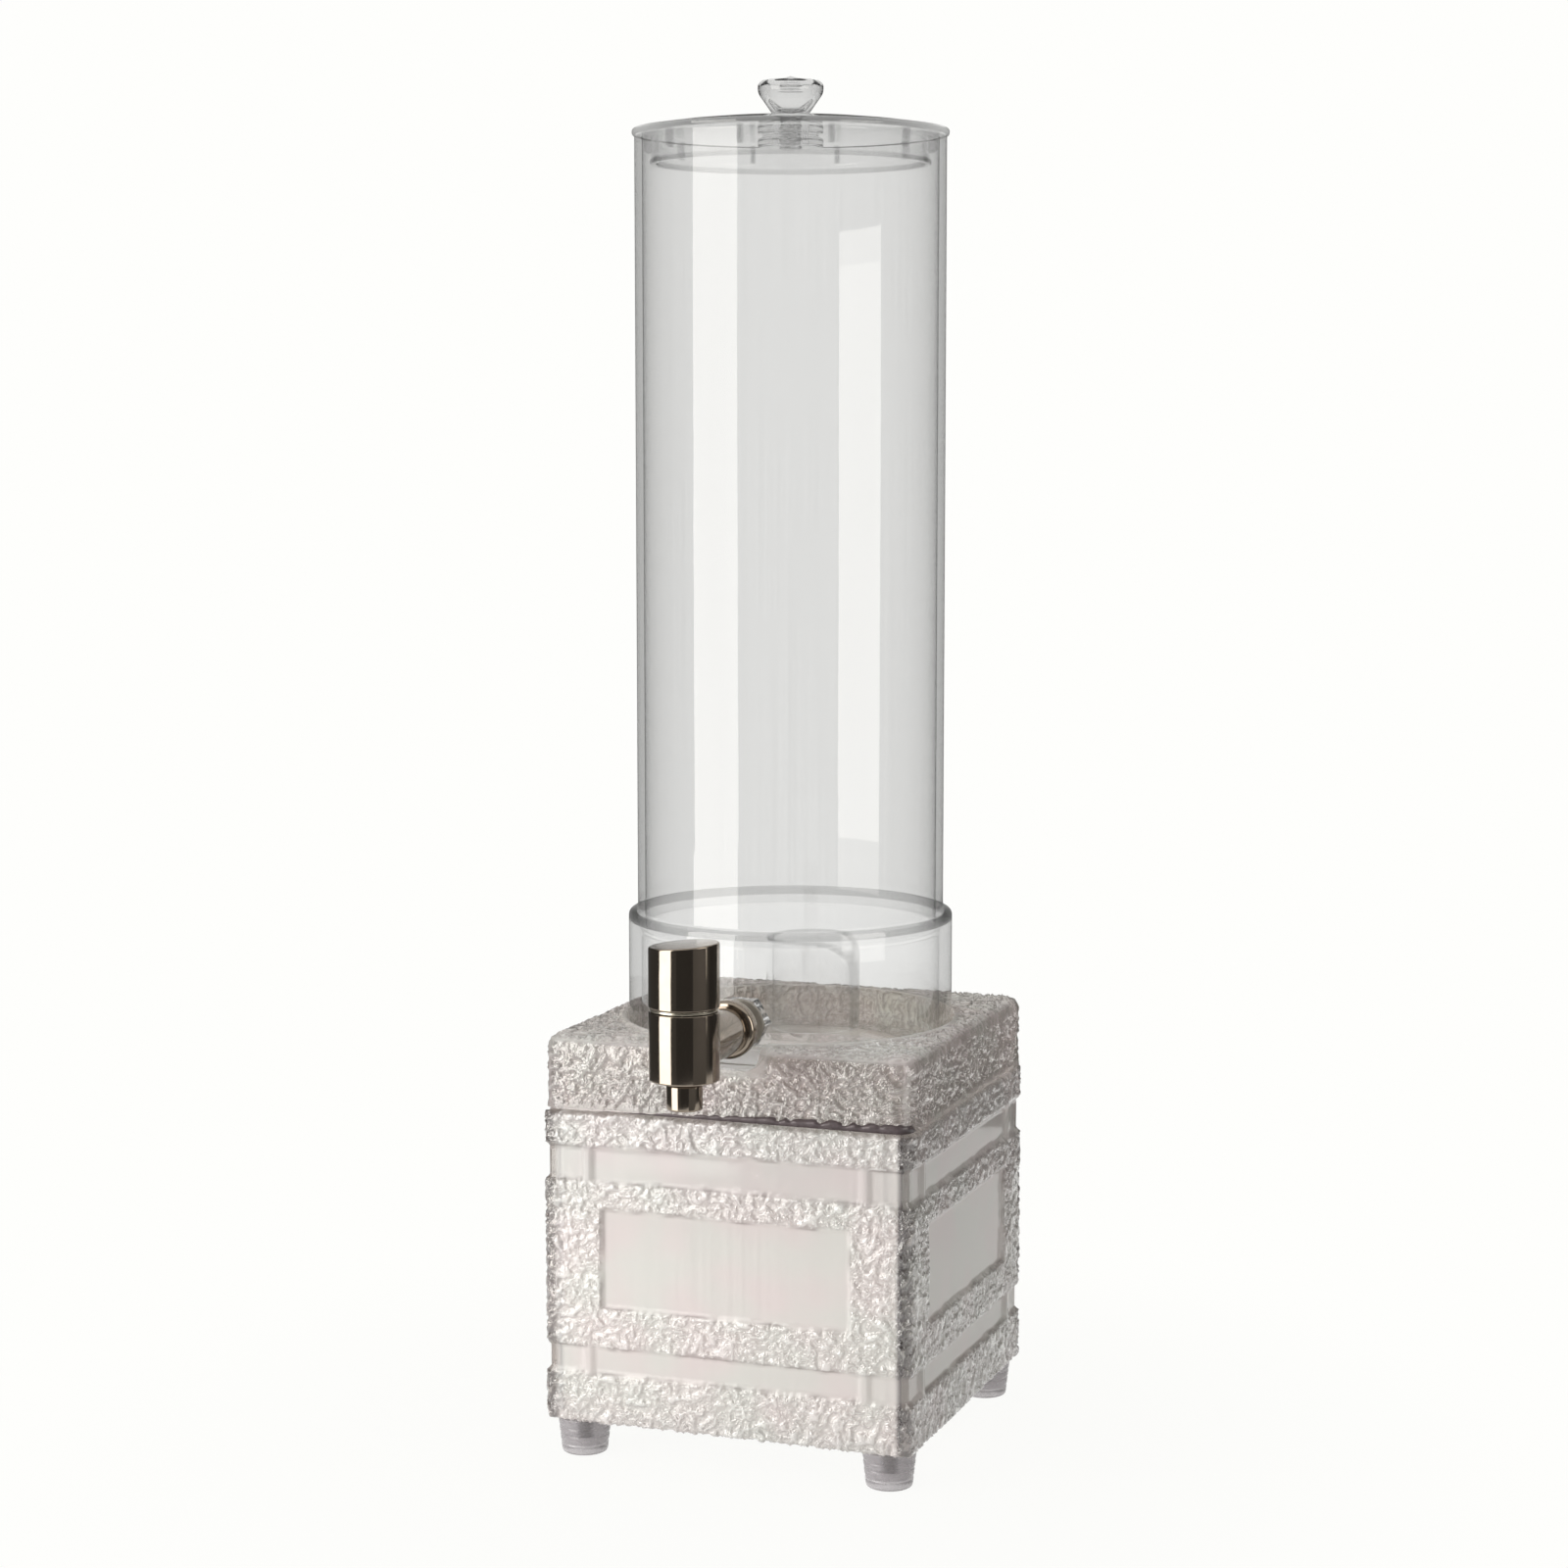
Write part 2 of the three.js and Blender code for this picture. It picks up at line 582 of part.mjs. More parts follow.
function tapInnerWasher() {
  const disc = turnedForward(ringProfile(threadHole, WASHER_DIA / 2, innerWasherFace, collarRadius), SMALL_FACETS);
  const inside = rod(collarInner - SEAT, collarZ, collarTop, LARGE_FACETS);
  return geometryOf(solid(disc).intersect(solid(inside)));
}

function tapFlange() {
  const outer = FLANGE_DIA / 2;
  return turnedForward([
    [threadHole, flangeBack], [outer, flangeBack],
    ...round(outer - FLANGE_EDGE, flangeFace - FLANGE_EDGE, FLANGE_EDGE, 0, 90),
    [threadHole, flangeFace], [threadHole, flangeBack],
  ], SMALL_FACETS);
}

function tapNut() {
  const hexagon = new THREE.Shape();
  const corner = TAP_NUT_FLATS / Math.sqrt(3);
  for (let i = 0; i < 6; i += 1) {
    const angle = (i * Math.PI) / 3;
    const place = [corner * Math.cos(angle), corner * Math.sin(angle)];
    if (i === 0) hexagon.moveTo(...place);
    else hexagon.lineTo(...place);
  }
  hexagon.closePath();
  hexagon.holes.push(new THREE.Path().absarc(0, 0, threadHole, 0, 2 * Math.PI));
  return prism(hexagon, nutBack, nutFace, SMALL_FACETS).rotateX(Math.PI / 2).translate(0, 0, tapZ);
}

function tapShank() {
  const bore = SHANK_BORE / 2;
  const thread = THREAD_DIA / 2;
  const spigot = chamberRadius - SEAT;
  const spigotEnd = TAP_REACH - chamberRadius;
  const neckEnd = TAP_REACH - barrelRadius;
  const turnedBar = turnedForward([
    [bore, shankEnd], [thread, shankEnd], [thread, shankBack], [SHANK_DIA / 2, shankBack],
    [SHANK_DIA / 2, TAP_REACH], [bore, TAP_REACH], [bore, shankEnd],
  ], SMALL_FACETS);
  const barrel = rod(barrelRadius + SEAT, bodyZ - BODY_BELOW, bodyTop + BODY_ABOVE, SMALL_FACETS);
  const spigotTube = turnedForward(ringProfile(bore, spigot, neckEnd - SHANK_DIA / 4, spigotEnd), SMALL_FACETS);
  const neck = solid(turnedBar).subtract(solid(barrel.translate(0, -TAP_REACH, 0)));
  return geometryOf(neck.add(solid(spigotTube)));
}

function tapBody() {
  const grooveZ = tapCapZ + SPIGOT_HEIGHT / 2 - SPIGOT_GROOVE_WIDTH / 2;
  const grooveRadius = spigotRadius - SPIGOT_GROOVE;
  const ringZ = tapZ + CHAMBER_ABOVE + O_RING;
  const ringRadius = STEM_DIA / 2 + RUN + O_RING;
  const turnedBody = turned([
    [chamberRadius, bodyZ], [barrelRadius - BODY_CHAMFER_WIDTH, bodyZ], [barrelRadius, bodyZ + BODY_CHAMFER],
    [barrelRadius, bodyTop], [spigotRadius, bodyTop], [spigotRadius, grooveZ], [grooveRadius, grooveZ],
    [grooveRadius, grooveZ + SPIGOT_GROOVE_WIDTH], [spigotRadius, grooveZ + SPIGOT_GROOVE_WIDTH],
    [spigotRadius, spigotTop], [stemHole, spigotTop], [stemHole, ringZ + O_RING + SEAT],
    [ringRadius, ringZ + O_RING + SEAT], [ringRadius, ringZ], [stemHole, ringZ],
    [stemHole, tapZ + CHAMBER_ABOVE], [chamberRadius, tapZ + CHAMBER_ABOVE], [chamberRadius, bodyZ],
  ], SMALL_FACETS);
  const inlet = rodForward(chamberRadius, -barrelRadius - OVERCUT, 0, SMALL_FACETS);
  return geometryOf(solid(turnedBody).subtract(solid(inlet)));
}

function stemRing() {
  const ringZ = tapZ + CHAMBER_ABOVE + O_RING + SEAT / 2;
  const middle = STEM_DIA / 2 + RUN / 2 + O_RING / 2;
  return turned(round(middle, ringZ + O_RING / 2, O_RING / 2, 0, 360, 2 * CORNER_STEPS), SMALL_FACETS);
}

function seamRing() {
  const inner = spigotRadius + SEAT;
  return turned(ringProfile(inner, barrelRadius - SEAM_RING_INSET, seamRingZ, seamRingZ + SEAM_RING), SMALL_FACETS);
}

const setScrewZ = tapCapZ + SPIGOT_HEIGHT / 2;

function tapCap() {
  const cavity = spigotRadius + RUN;
  const cavityTop = spigotTop + RUN;
  const stemEnd = stemTop + VALVE_LIFT + RUN;
  const top = tapCapZ + TAP_CAP_HEIGHT;
  const slant = THREE.MathUtils.degToRad(TAP_CAP_SLANT);
  const turnedCap = turned([
    [cavity, tapCapZ], [barrelRadius, tapCapZ], [barrelRadius, top + barrelRadius], [0, top + barrelRadius],
    [0, stemEnd], [stemHole, stemEnd], [stemHole, cavityTop], [cavity, cavityTop], [cavity, tapCapZ],
  ], SMALL_FACETS);
  const above = new THREE.BoxGeometry(4 * barrelRadius, 4 * barrelRadius, 2 * barrelRadius);
  above.translate(0, 0, barrelRadius).rotateY(-slant).translate(0, 0, top);
  const screwHoleCut = rod(SET_SCREW_DIA / 2 + SEAT, spigotRadius - SPIGOT_GROOVE, 2 * barrelRadius, BOLT_FACETS);
  screwHoleCut.rotateX(-Math.PI / 2).translate(0, 0, setScrewZ);
  return geometryOf(solid(turnedCap).subtract(solid(above)).subtract(solid(screwHoleCut)));
}

function setScrew() {
  const tip = spigotRadius - SPIGOT_GROOVE + SEAT;
  const screw = rod(SET_SCREW_DIA / 2, tip, barrelRadius - SET_SCREW_SUNK, BOLT_FACETS);
  return screw.rotateX(-Math.PI / 2).translate(0, 0, setScrewZ);
}

function valvePlunger() {
  const head = PLUNGER_HEAD_DIA / 2;
  const stem = STEM_DIA / 2;
  return turned([
    [0, plungerZ], [head, plungerZ], [head, plungerZ + PLUNGER_HEAD], [stem, plungerZ + PLUNGER_HEAD],
    [stem, stemTop - STEM_CHAMFER], [stem - STEM_CHAMFER, stemTop], [0, stemTop],
  ], SMALL_FACETS);
}

function plungerSeal() {
  return rod(PLUNGER_HEAD_DIA / 2 - SEAT, plungerSealZ, plungerSealZ + PLUNGER_SEAL, SMALL_FACETS);
}

function tapNozzle() {
  const spigot = chamberRadius - SEAT;
  const outer = NOZZLE_DIA / 2;
  const neck = NOZZLE_NECK_DIA / 2;
  const bore = NOZZLE_BORE / 2;
  const mouth = NOZZLE_MOUTH / 2;
  const shoulder = bodyZ - SEAT;
  const tip = bodyZ - NOZZLE_LENGTH;
  const mouthTop = tip + NOZZLE_MOUTH_DEPTH;
  return turned([
    [bore, valveSeatZ], [bore, mouthTop], [mouth, mouthTop - NOZZLE_MOUTH_TAPER], [mouth, tip],
    [outer - NOZZLE_EDGE, tip], [outer, tip + NOZZLE_EDGE], [outer, shoulder - NOZZLE_NECK],
    [neck, shoulder - NOZZLE_NECK], [neck, shoulder], [spigot, shoulder], [spigot, valveSeatZ], [bore, valveSeatZ],
  ], SMALL_FACETS);
}

// Assembly

const object = new THREE.Group();
const tower = new THREE.Group();
tower.position.y = towerY;
const tap = new THREE.Group();
tap.position.y = tapY;
object.add(tower, tap);

function place(group, name, geometry, colour, roughness, metalness) {
  const material = new THREE.MeshStandardMaterial({ color: colour, roughness, metalness });
  const mesh = new THREE.Mesh(closed(geometry), material);
  mesh.name = name;
  group.add(mesh);
  return mesh;
}

const CLEAR = 0xdcdcd9;
const ICE = 0xd9d5d1;
const WHITE = 0xe6e2dd;
const SMOKE = 0x8c868a;
const RUBBER = 0xb9b6b1;
const NICKEL = 0x6e655a;
const STEEL = 0xb3ab9a;

const corners = [['front_left', -1, -1], ['front_right', 1, -1], ['rear_left', -1, 1], ['rear_right', 1, 1]];
for (const [corner, x, y] of corners) {
  place(tower, `foot_${corner}`, foot(), SMOKE, 0.25, 0).position.set(x * footAt, y * footAt, 0);
  place(tower, `foot_screw_${corner}`, footScrew(), STEEL, 0.35, 1).position.set(x * footAt, y * footAt, 0);
}
place(tower, 'base_plate', basePlate(), CLEAR, 0.1, 0);
place(tower, 'base_housing', baseHousing(), ICE, 0.12, 0);
place(tower, 'base_liner', baseLiner(), WHITE, 0.6, 0);
place(tower, 'base_cap', baseCap(), ICE, 0.12, 0);

place(tower, 'tank_collar', tankCollar(), CLEAR, 0.05, 0);
place(tower, 'tube_seal', tubeSeal(), RUBBER, 0.5, 0);
place(tower, 'tank_tube', tankTube(), CLEAR, 0.05, 0);
place(tower, 'core_seat', coreSeat(), CLEAR, 0.05, 0);
place(tower, 'lid', lid(), CLEAR, 0.05, 0);
place(tower, 'lid_knob', lidKnob(), CLEAR, 0.05, 0);
place(tower, 'lid_nut', lidNut(), CLEAR, 0.1, 0);

place(tower, 'tap_outer_washer', tapOuterWasher(), RUBBER, 0.5, 0);
place(tower, 'tap_inner_washer', tapInnerWasher(), RUBBER, 0.5, 0);
place(tower, 'tap_flange', tapFlange(), NICKEL, 0.15, 1);
place(tower, 'tap_nut', tapNut(), CLEAR, 0.1, 0);
place(tower, 'tap_shank', tapShank(), NICKEL, 0.15, 1);
place(tap, 'tap_body', tapBody(), NICKEL, 0.12, 1);
place(tap, 'tap_nozzle', tapNozzle(), NICKEL, 0.12, 1);
place(tap, 'tap_seam_ring', seamRing(), STEEL, 0.3, 1);
place(tap, 'stem_o_ring', stemRing(), RUBBER, 0.6, 0);
place(tap, 'tap_cap', tapCap(), NICKEL, 0.12, 1);
place(tap, 'cap_set_screw', setScrew(), STEEL, 0.35, 1);
place(tap, 'valve_plunger', valvePlunger(), STEEL, 0.3, 1);
place(tap, 'plunger_seal', plungerSeal(), RUBBER, 0.6, 0);

export default object;
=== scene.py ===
# %% [markdown]
# This lesson dresses a clear drinks tower: a tall acrylic tube with a lid, standing in a square base that
# is moulded to look like ice, with a turned metal tap at the front. The construction comes from a packed
# CAD model, which gives every size and place. Here each piece gets its real surface: smooth turned walls,
# the crinkled ice, the thread on the lid's stud, and the finishes.

# %% Load the frame
import math

import bmesh
import bpy
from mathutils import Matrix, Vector, noise


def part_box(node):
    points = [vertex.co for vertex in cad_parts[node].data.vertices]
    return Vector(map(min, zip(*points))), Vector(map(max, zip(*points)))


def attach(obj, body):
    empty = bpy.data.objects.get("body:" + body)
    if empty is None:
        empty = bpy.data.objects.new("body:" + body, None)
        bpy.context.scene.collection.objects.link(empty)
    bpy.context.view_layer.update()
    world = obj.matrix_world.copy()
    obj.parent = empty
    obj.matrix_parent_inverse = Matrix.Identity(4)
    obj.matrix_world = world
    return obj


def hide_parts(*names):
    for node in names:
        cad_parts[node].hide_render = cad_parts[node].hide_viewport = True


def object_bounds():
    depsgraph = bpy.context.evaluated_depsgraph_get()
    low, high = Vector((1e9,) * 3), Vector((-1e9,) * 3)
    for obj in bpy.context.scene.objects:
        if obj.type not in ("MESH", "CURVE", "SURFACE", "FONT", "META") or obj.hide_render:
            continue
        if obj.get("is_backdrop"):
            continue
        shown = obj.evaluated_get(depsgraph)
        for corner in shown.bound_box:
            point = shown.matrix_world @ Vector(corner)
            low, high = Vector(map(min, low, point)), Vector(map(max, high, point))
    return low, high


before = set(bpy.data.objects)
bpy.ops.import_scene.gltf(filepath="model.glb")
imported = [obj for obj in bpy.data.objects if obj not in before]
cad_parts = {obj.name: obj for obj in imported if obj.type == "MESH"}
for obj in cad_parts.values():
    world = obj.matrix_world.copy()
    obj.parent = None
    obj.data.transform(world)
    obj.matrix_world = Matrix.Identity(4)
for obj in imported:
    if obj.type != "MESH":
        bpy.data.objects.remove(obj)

cad_box = [list(corner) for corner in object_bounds()]
print("nodes in the frame:", len(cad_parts))

# %% [markdown]
# The frame is in metres, but a maker thinks of these pieces in millimetres. All sizes below are read from
# the frame's boxes, turned to millimetres, and only become metres when a mesh is written.

# %% Sizes from the frame
MM = 0.001


def size(node_name):
    """The lowest and highest corner of a CAD node, in millimetres."""
    low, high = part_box(node_name)
    return low / MM, high / MM


tube_low, tube_high = size("tank_tube")
housing_low, housing_high = size("base_housing")
body_low, body_high = size("tap_body")
TOWER = ((tube_low.x + tube_high.x) / 2, (tube_low.y + tube_high.y) / 2)
TAP = ((body_low.x + body_high.x) / 2, (body_low.y + body_high.y) / 2)
BASE_HALF = (housing_high.x - housing_low.x) / 2
print("tower axis", TOWER, "tap axis", TAP, "half the base", BASE_HALF)

# %% [markdown]
# Two small helpers serve every material and node tree. One turns an sRGB hex colour, as a colour picker
# shows it, to the linear values that Blender computes with. The other adds a node, sets its options and
# either links or sets each of its inputs.

# %% Helpers for colours and nodes
LINEAR_TOE = 0.04045


def linear(colour):
    """An sRGB hex colour as linear red, green, blue and alpha."""
    shares = [int(colour[i:i + 2], 16) / 255 for i in (1, 3, 5)]
    steps = [s / 12.92 if s <= LINEAR_TOE else ((s + 0.055) / 1.055) ** 2.4 for s in shares]
    return (*steps, 1.0)


def node(tree, kind, inputs=None, **options):
    """Adds a node with its options and inputs. A node given as an input stands for its first output."""
    made = tree.nodes.new(kind)
    for name, value in options.items():
        setattr(made, name, value)
    for key, value in (inputs or {}).items():
        if isinstance(value, bpy.types.Node):
            value = value.outputs[0]
        if isinstance(value, bpy.types.NodeSocket):
            tree.links.new(value, made.inputs[key])
        else:
            made.inputs[key].default_value = value
    return made


def blank(name):
    """A new material with an empty node tree."""
    made = bpy.data.materials.new(name)
    made.use_nodes = True
    made.node_tree.nodes.clear()
    return made


print("linear mid grey:", round(linear("#808080")[0], 3))

# %% [markdown]
# The camera stands where the photographer stood: a little to the right, level with the upper part of the
# tube, with a long lens. Its place was fitted to the outlines of the tube, the collar and the base.

# %% Camera
SENSOR = 36
LENS = 75.37
CAMERA_PLACE = (0.5469, -1.4719, 0.5030)
CAMERA_TILT = math.radians(83.515)
CAMERA_TURN = math.radians(20.098)
scene = bpy.context.scene
camera = bpy.data.objects.new("camera", bpy.data.cameras.new("camera"))
camera.data.sensor_width = SENSOR
camera.data.lens = LENS
camera.location = CAMERA_PLACE
camera.rotation_euler = (CAMERA_TILT, 0, CAMERA_TURN)
scene.collection.objects.link(camera)
scene.camera = camera
print("camera at", tuple(round(value, 3) for value in camera.location))

# %% [markdown]
# Clear plastic and polished metal show little but what stands round them, so the studio is built with care.
# The world is white to the camera, to mirrors and through clear walls. As light on matt surfaces it is a
# gentle grey that grows brighter overhead. A ray crosses many clear walls on its way through the tower, so
# the limits on bounces are high.

# %% World and view settings
AMBIENT = 0.165
OVERHEAD = 1.15
OVERHEAD_POWER = 2.0
BOUNCES = 48
CLEAR_BOUNCES = 40
FIRST_HIT = 0.5
scene.view_settings.view_transform = "Standard"
scene.cycles.use_denoising = True
scene.cycles.max_bounces = BOUNCES
scene.cycles.transmission_bounces = CLEAR_BOUNCES
scene.cycles.transparent_max_bounces = BOUNCES
scene.cycles.caustics_reflective = False
scene.cycles.caustics_refractive = False
world = bpy.data.worlds.new("studio")
scene.world = world
world.use_nodes = True
sky = world.node_tree
sky.nodes.clear()
rays = node(sky, "ShaderNodeLightPath")
mirrored = node(sky, "ShaderNodeMath", {0: rays.outputs["Is Camera Ray"], 1: rays.outputs["Is Glossy Ray"]})
looking = node(sky, "ShaderNodeMath", {0: mirrored, 1: rays.outputs["Is Transmission Ray"]},
               use_clamp=True)
unlit = node(sky, "ShaderNodeMath", {0: rays.outputs["Diffuse Depth"], 1: FIRST_HIT}, operation="LESS_THAN")
white = node(sky, "ShaderNodeMath", {0: looking, 1: unlit}, operation="MULTIPLY")
way = node(sky, "ShaderNodeTexCoord")
upward = node(sky, "ShaderNodeSeparateXYZ", {0: way.outputs["Generated"]})
risen = node(sky, "ShaderNodeMath", {0: upward.outputs["Z"], 1: OVERHEAD_POWER}, operation="POWER")
dim = node(sky, "ShaderNodeMapRange", {"Value": risen, "To Min": AMBIENT, "To Max": OVERHEAD})
strength = node(sky, "ShaderNodeMapRange", {"Value": white, "To Min": dim, "To Max": 1.0})
light = node(sky, "ShaderNodeBackground", {"Color": linear("#FEFEFC"), "Strength": strength})
node(sky, "ShaderNodeOutputWorld", {"Surface": light})
print("world nodes:", len(sky.nodes))

# %% [markdown]
# A softbox at the front left lights the matt pieces. Its outline would show as one more highlight in the
# clear and polished ones, so mirrors don't see it.

# %% Softbox
SOFTBOX_WIDE = 0.95
SOFTBOX_TALL = 0.42
SOFTBOX_AWAY = 1.25
SOFTBOX_SIDE = math.radians(-42)
SOFTBOX_UP = 0.22
SOFTBOX_AIM = 0.25
SOFTBOX_RADIANCE = 11.3
softbox = bpy.data.objects.new("softbox", bpy.data.lights.new("softbox", "AREA"))
softbox.data.shape = "RECTANGLE"
softbox.data.size = SOFTBOX_WIDE
softbox.data.size_y = SOFTBOX_TALL
softbox.data.energy = SOFTBOX_RADIANCE * math.pi * SOFTBOX_WIDE * SOFTBOX_TALL
softbox.location = (
    TOWER[0] * MM + SOFTBOX_AWAY * math.sin(SOFTBOX_SIDE),
    TOWER[1] * MM - SOFTBOX_AWAY * math.cos(SOFTBOX_SIDE),
    SOFTBOX_UP,
)
aim = Vector((TOWER[0] * MM, TOWER[1] * MM, SOFTBOX_AIM)) - softbox.location
softbox.rotation_euler = aim.to_track_quat("-Z", "Y").to_euler()
softbox.visible_camera = False
softbox.visible_glossy = False
softbox.visible_transmission = False
scene.collection.objects.link(softbox)
print("softbox power", round(softbox.data.energy, 2), "W")

# %% [markdown]
# A ring of dark cloth round the tower is seen in reflections only: it draws the dark edges of the tube and
# the dark flanks of the tap. Bright cards in front of the cloth give the two long highlights on the tube and
# the strip on the tap. A small flag beside the tap keeps the right card out of its barrel, as a photographer
# would do. Angles are in degrees to the right of the front, heights are in metres, and the last number of
# each is its radiance.

# %% Cloth and cards
WALL_STEP = 4
FEWEST_STEPS = 4
CLOTH_RADIUS = 0.74
CLOTH_TOP = 0.80
CARD_RADIUS = 0.70
CLOTHS = (
    ("left_cloth", -165, -16, 0.09), ("front_cloth", -16, -3, 0.12), ("dark_cloth", -3, 60, 0.07),
    ("right_cloth", 60, 97, 0.13), ("corner_cloth", 97, 124, 0.06), ("back_cloth", 124, 195, 0.07),
)
CARDS = (
    ("left_card", -52.5, -17.1, 0.165, 0.78, 5.2),
    ("left_low_card", -54.0, -17.8, 0.0, 0.165, 5.2),
    ("right_low_card", 53.5, 86.1, 0.128, 0.172, 2.2),
    ("right_card", 53.5, 86.1, 0.172, 0.641, 4.6),
    ("right_top_card", 53.5, 86.1, 0.641, 0.669, 3.4),
)
FLAG_RADIUS = 0.20
TAP_FLAG = ("tap_flag", FLAG_RADIUS, 16, 49, 0.15, 0.30, 0.2)


def curved_wall(name, radius, start, end, low, high, radiance):
    """Part of an upright cylinder round the tower, seen in reflections only."""
    steps = max(FEWEST_STEPS, round((end - start) / WALL_STEP))
    points = []
    for height in (low, high):
        for step in range(steps + 1):
            turn = math.radians(start + (end - start) * step / steps)
            x = TOWER[0] * MM + radius * math.sin(turn)
            y = TOWER[1] * MM - radius * math.cos(turn)
            points.append((x, y, height))
    faces = [(i, i + 1, i + steps + 2, i + steps + 1) for i in range(steps)]
    mesh = bpy.data.meshes.new(name)
    mesh.from_pydata(points, [], faces)
    made = bpy.data.objects.new(name, mesh)
    scene.collection.objects.link(made)
    glow = blank(name)
    shine = node(glow.node_tree, "ShaderNodeEmission", {"Color": linear("#FFFDF8"), "Strength": radiance})
    node(glow.node_tree, "ShaderNodeOutputMaterial", {"Surface": shine})
    mesh.materials.append(glow)
    made.visible_camera = False
    made.visible_diffuse = False
    made.visible_transmission = False
    made.visible_shadow = False
    made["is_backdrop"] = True


for cloth, start, end, radiance in CLOTHS:
    curved_wall(cloth, CLOTH_RADIUS, start, end, 0.0, CLOTH_TOP, radiance)
for card, start, end, low, high, radiance in CARDS:
    curved_wall(card, CARD_RADIUS, start, end, low, high, radiance)
curved_wall(*TAP_FLAG)
print("cloths:", len(CLOTHS), "cards:", len(CARDS), "and a flag beside the tap")

# %% [markdown]
# The floor is a wide sweep of white paper. It glows as the background does, but close to the tower a matt
# share of it takes the shadow.

# %% Floor
FLOOR_RADIUS = 6.0
FLOOR_SIDES = 96
FLOOR_GLOW_NEAR = 0.95
FLOOR_LIGHT = 0.50
FLOOR_FADE = (0.16, 0.42)
shape = bmesh.new()
bmesh.ops.create_circle(shape, cap_ends=True, radius=FLOOR_RADIUS, segments=FLOOR_SIDES)
floor_mesh = bpy.data.meshes.new("floor")
shape.to_mesh(floor_mesh)
shape.free()
floor = bpy.data.objects.new("floor", floor_mesh)
scene.collection.objects.link(floor)
paper = blank("white_paper_sweep")
tree = paper.node_tree
place = node(tree, "ShaderNodeTexCoord")
away = node(tree, "ShaderNodeVectorMath", {0: place.outputs["Object"]}, operation="LENGTH")
glow_share = node(tree, "ShaderNodeMapRange", {
    "Value": away.outputs["Value"], "From Min": FLOOR_FADE[0], "From Max": FLOOR_FADE[1],
    "To Min": FLOOR_GLOW_NEAR, "To Max": 1.0}, interpolation_type="SMOOTHSTEP")
matt = node(tree, "ShaderNodeBsdfDiffuse", {"Color": linear("#F4F4F2")})
rays = node(tree, "ShaderNodeLightPath")
lit = node(tree, "ShaderNodeMath", {0: rays.outputs["Diffuse Depth"], 1: FIRST_HIT}, operation="LESS_THAN")
glow_level = node(tree, "ShaderNodeMapRange", {"Value": lit, "To Min": FLOOR_LIGHT, "To Max": 1.0})
glow = node(tree, "ShaderNodeEmission", {"Color": linear("#FEFEFC"), "Strength": glow_level})
mixed = node(tree, "ShaderNodeMixShader", {0: glow_share, 1: matt, 2: glow})
node(tree, "ShaderNodeOutputMaterial", {"Surface": mixed})
floor_mesh.materials.append(paper)
floor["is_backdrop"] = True
print("floor radius", FLOOR_RADIUS, "m")

# %% [markdown]
# Clear acrylic is cast or drawn, then polished. It swallows a little light on the way through and keeps
# faint upright lines from the drawing of the tube. Glass in a path tracer stops the light of lamps, so rays
# on their way to a lamp, or leaving a matt surface, pass straight through instead. Walls get an index close
# to one under a clear coat that mirrors as acrylic does, and show their thickness by the light they swallow.
# The tube, the collar and the core seat have a thin denser skin inside: seen edge-on it draws the dark line
# of the inside edge. Rims, ribs and beads are dense too, so that they show as grey lines. Solid pieces such
# as the nuts get the true index and bend what is behind them. The inside of the tube and the floor of the
# collar are marked dull and get no coat: only the outside mirrors the cards.

# %% Clear acrylic
DRAW_LINE = 2.2 * MM
DRAW_LENGTH = 260 * MM
ACRYLIC_INDEX = 1.49
WALL_INDEX = 1.001
KNOB_INDEX = 1.3
DRAW_POLISH = 0.05
DRAW_STRENGTH = 0.08
DRAW_DEPTH = 0.1 * MM
COAT_POLISH = 0.02
SWALLOWED = "#BDBDBD"


def let_light_pass(tree, shader, shade):
    """Mixes in a plain transparent shader for rays to lamps and from matt surfaces."""
    rays = node(tree, "ShaderNodeLightPath")
    either = node(tree, "ShaderNodeMath", {
        0: rays.outputs["Is Shadow Ray"], 1: rays.outputs["Is Diffuse Ray"]}, operation="MAXIMUM")
    clear = node(tree, "ShaderNodeBsdfTransparent", {"Color": linear(shade)})
    return node(tree, "ShaderNodeMixShader", {0: either, 1: shader, 2: clear})


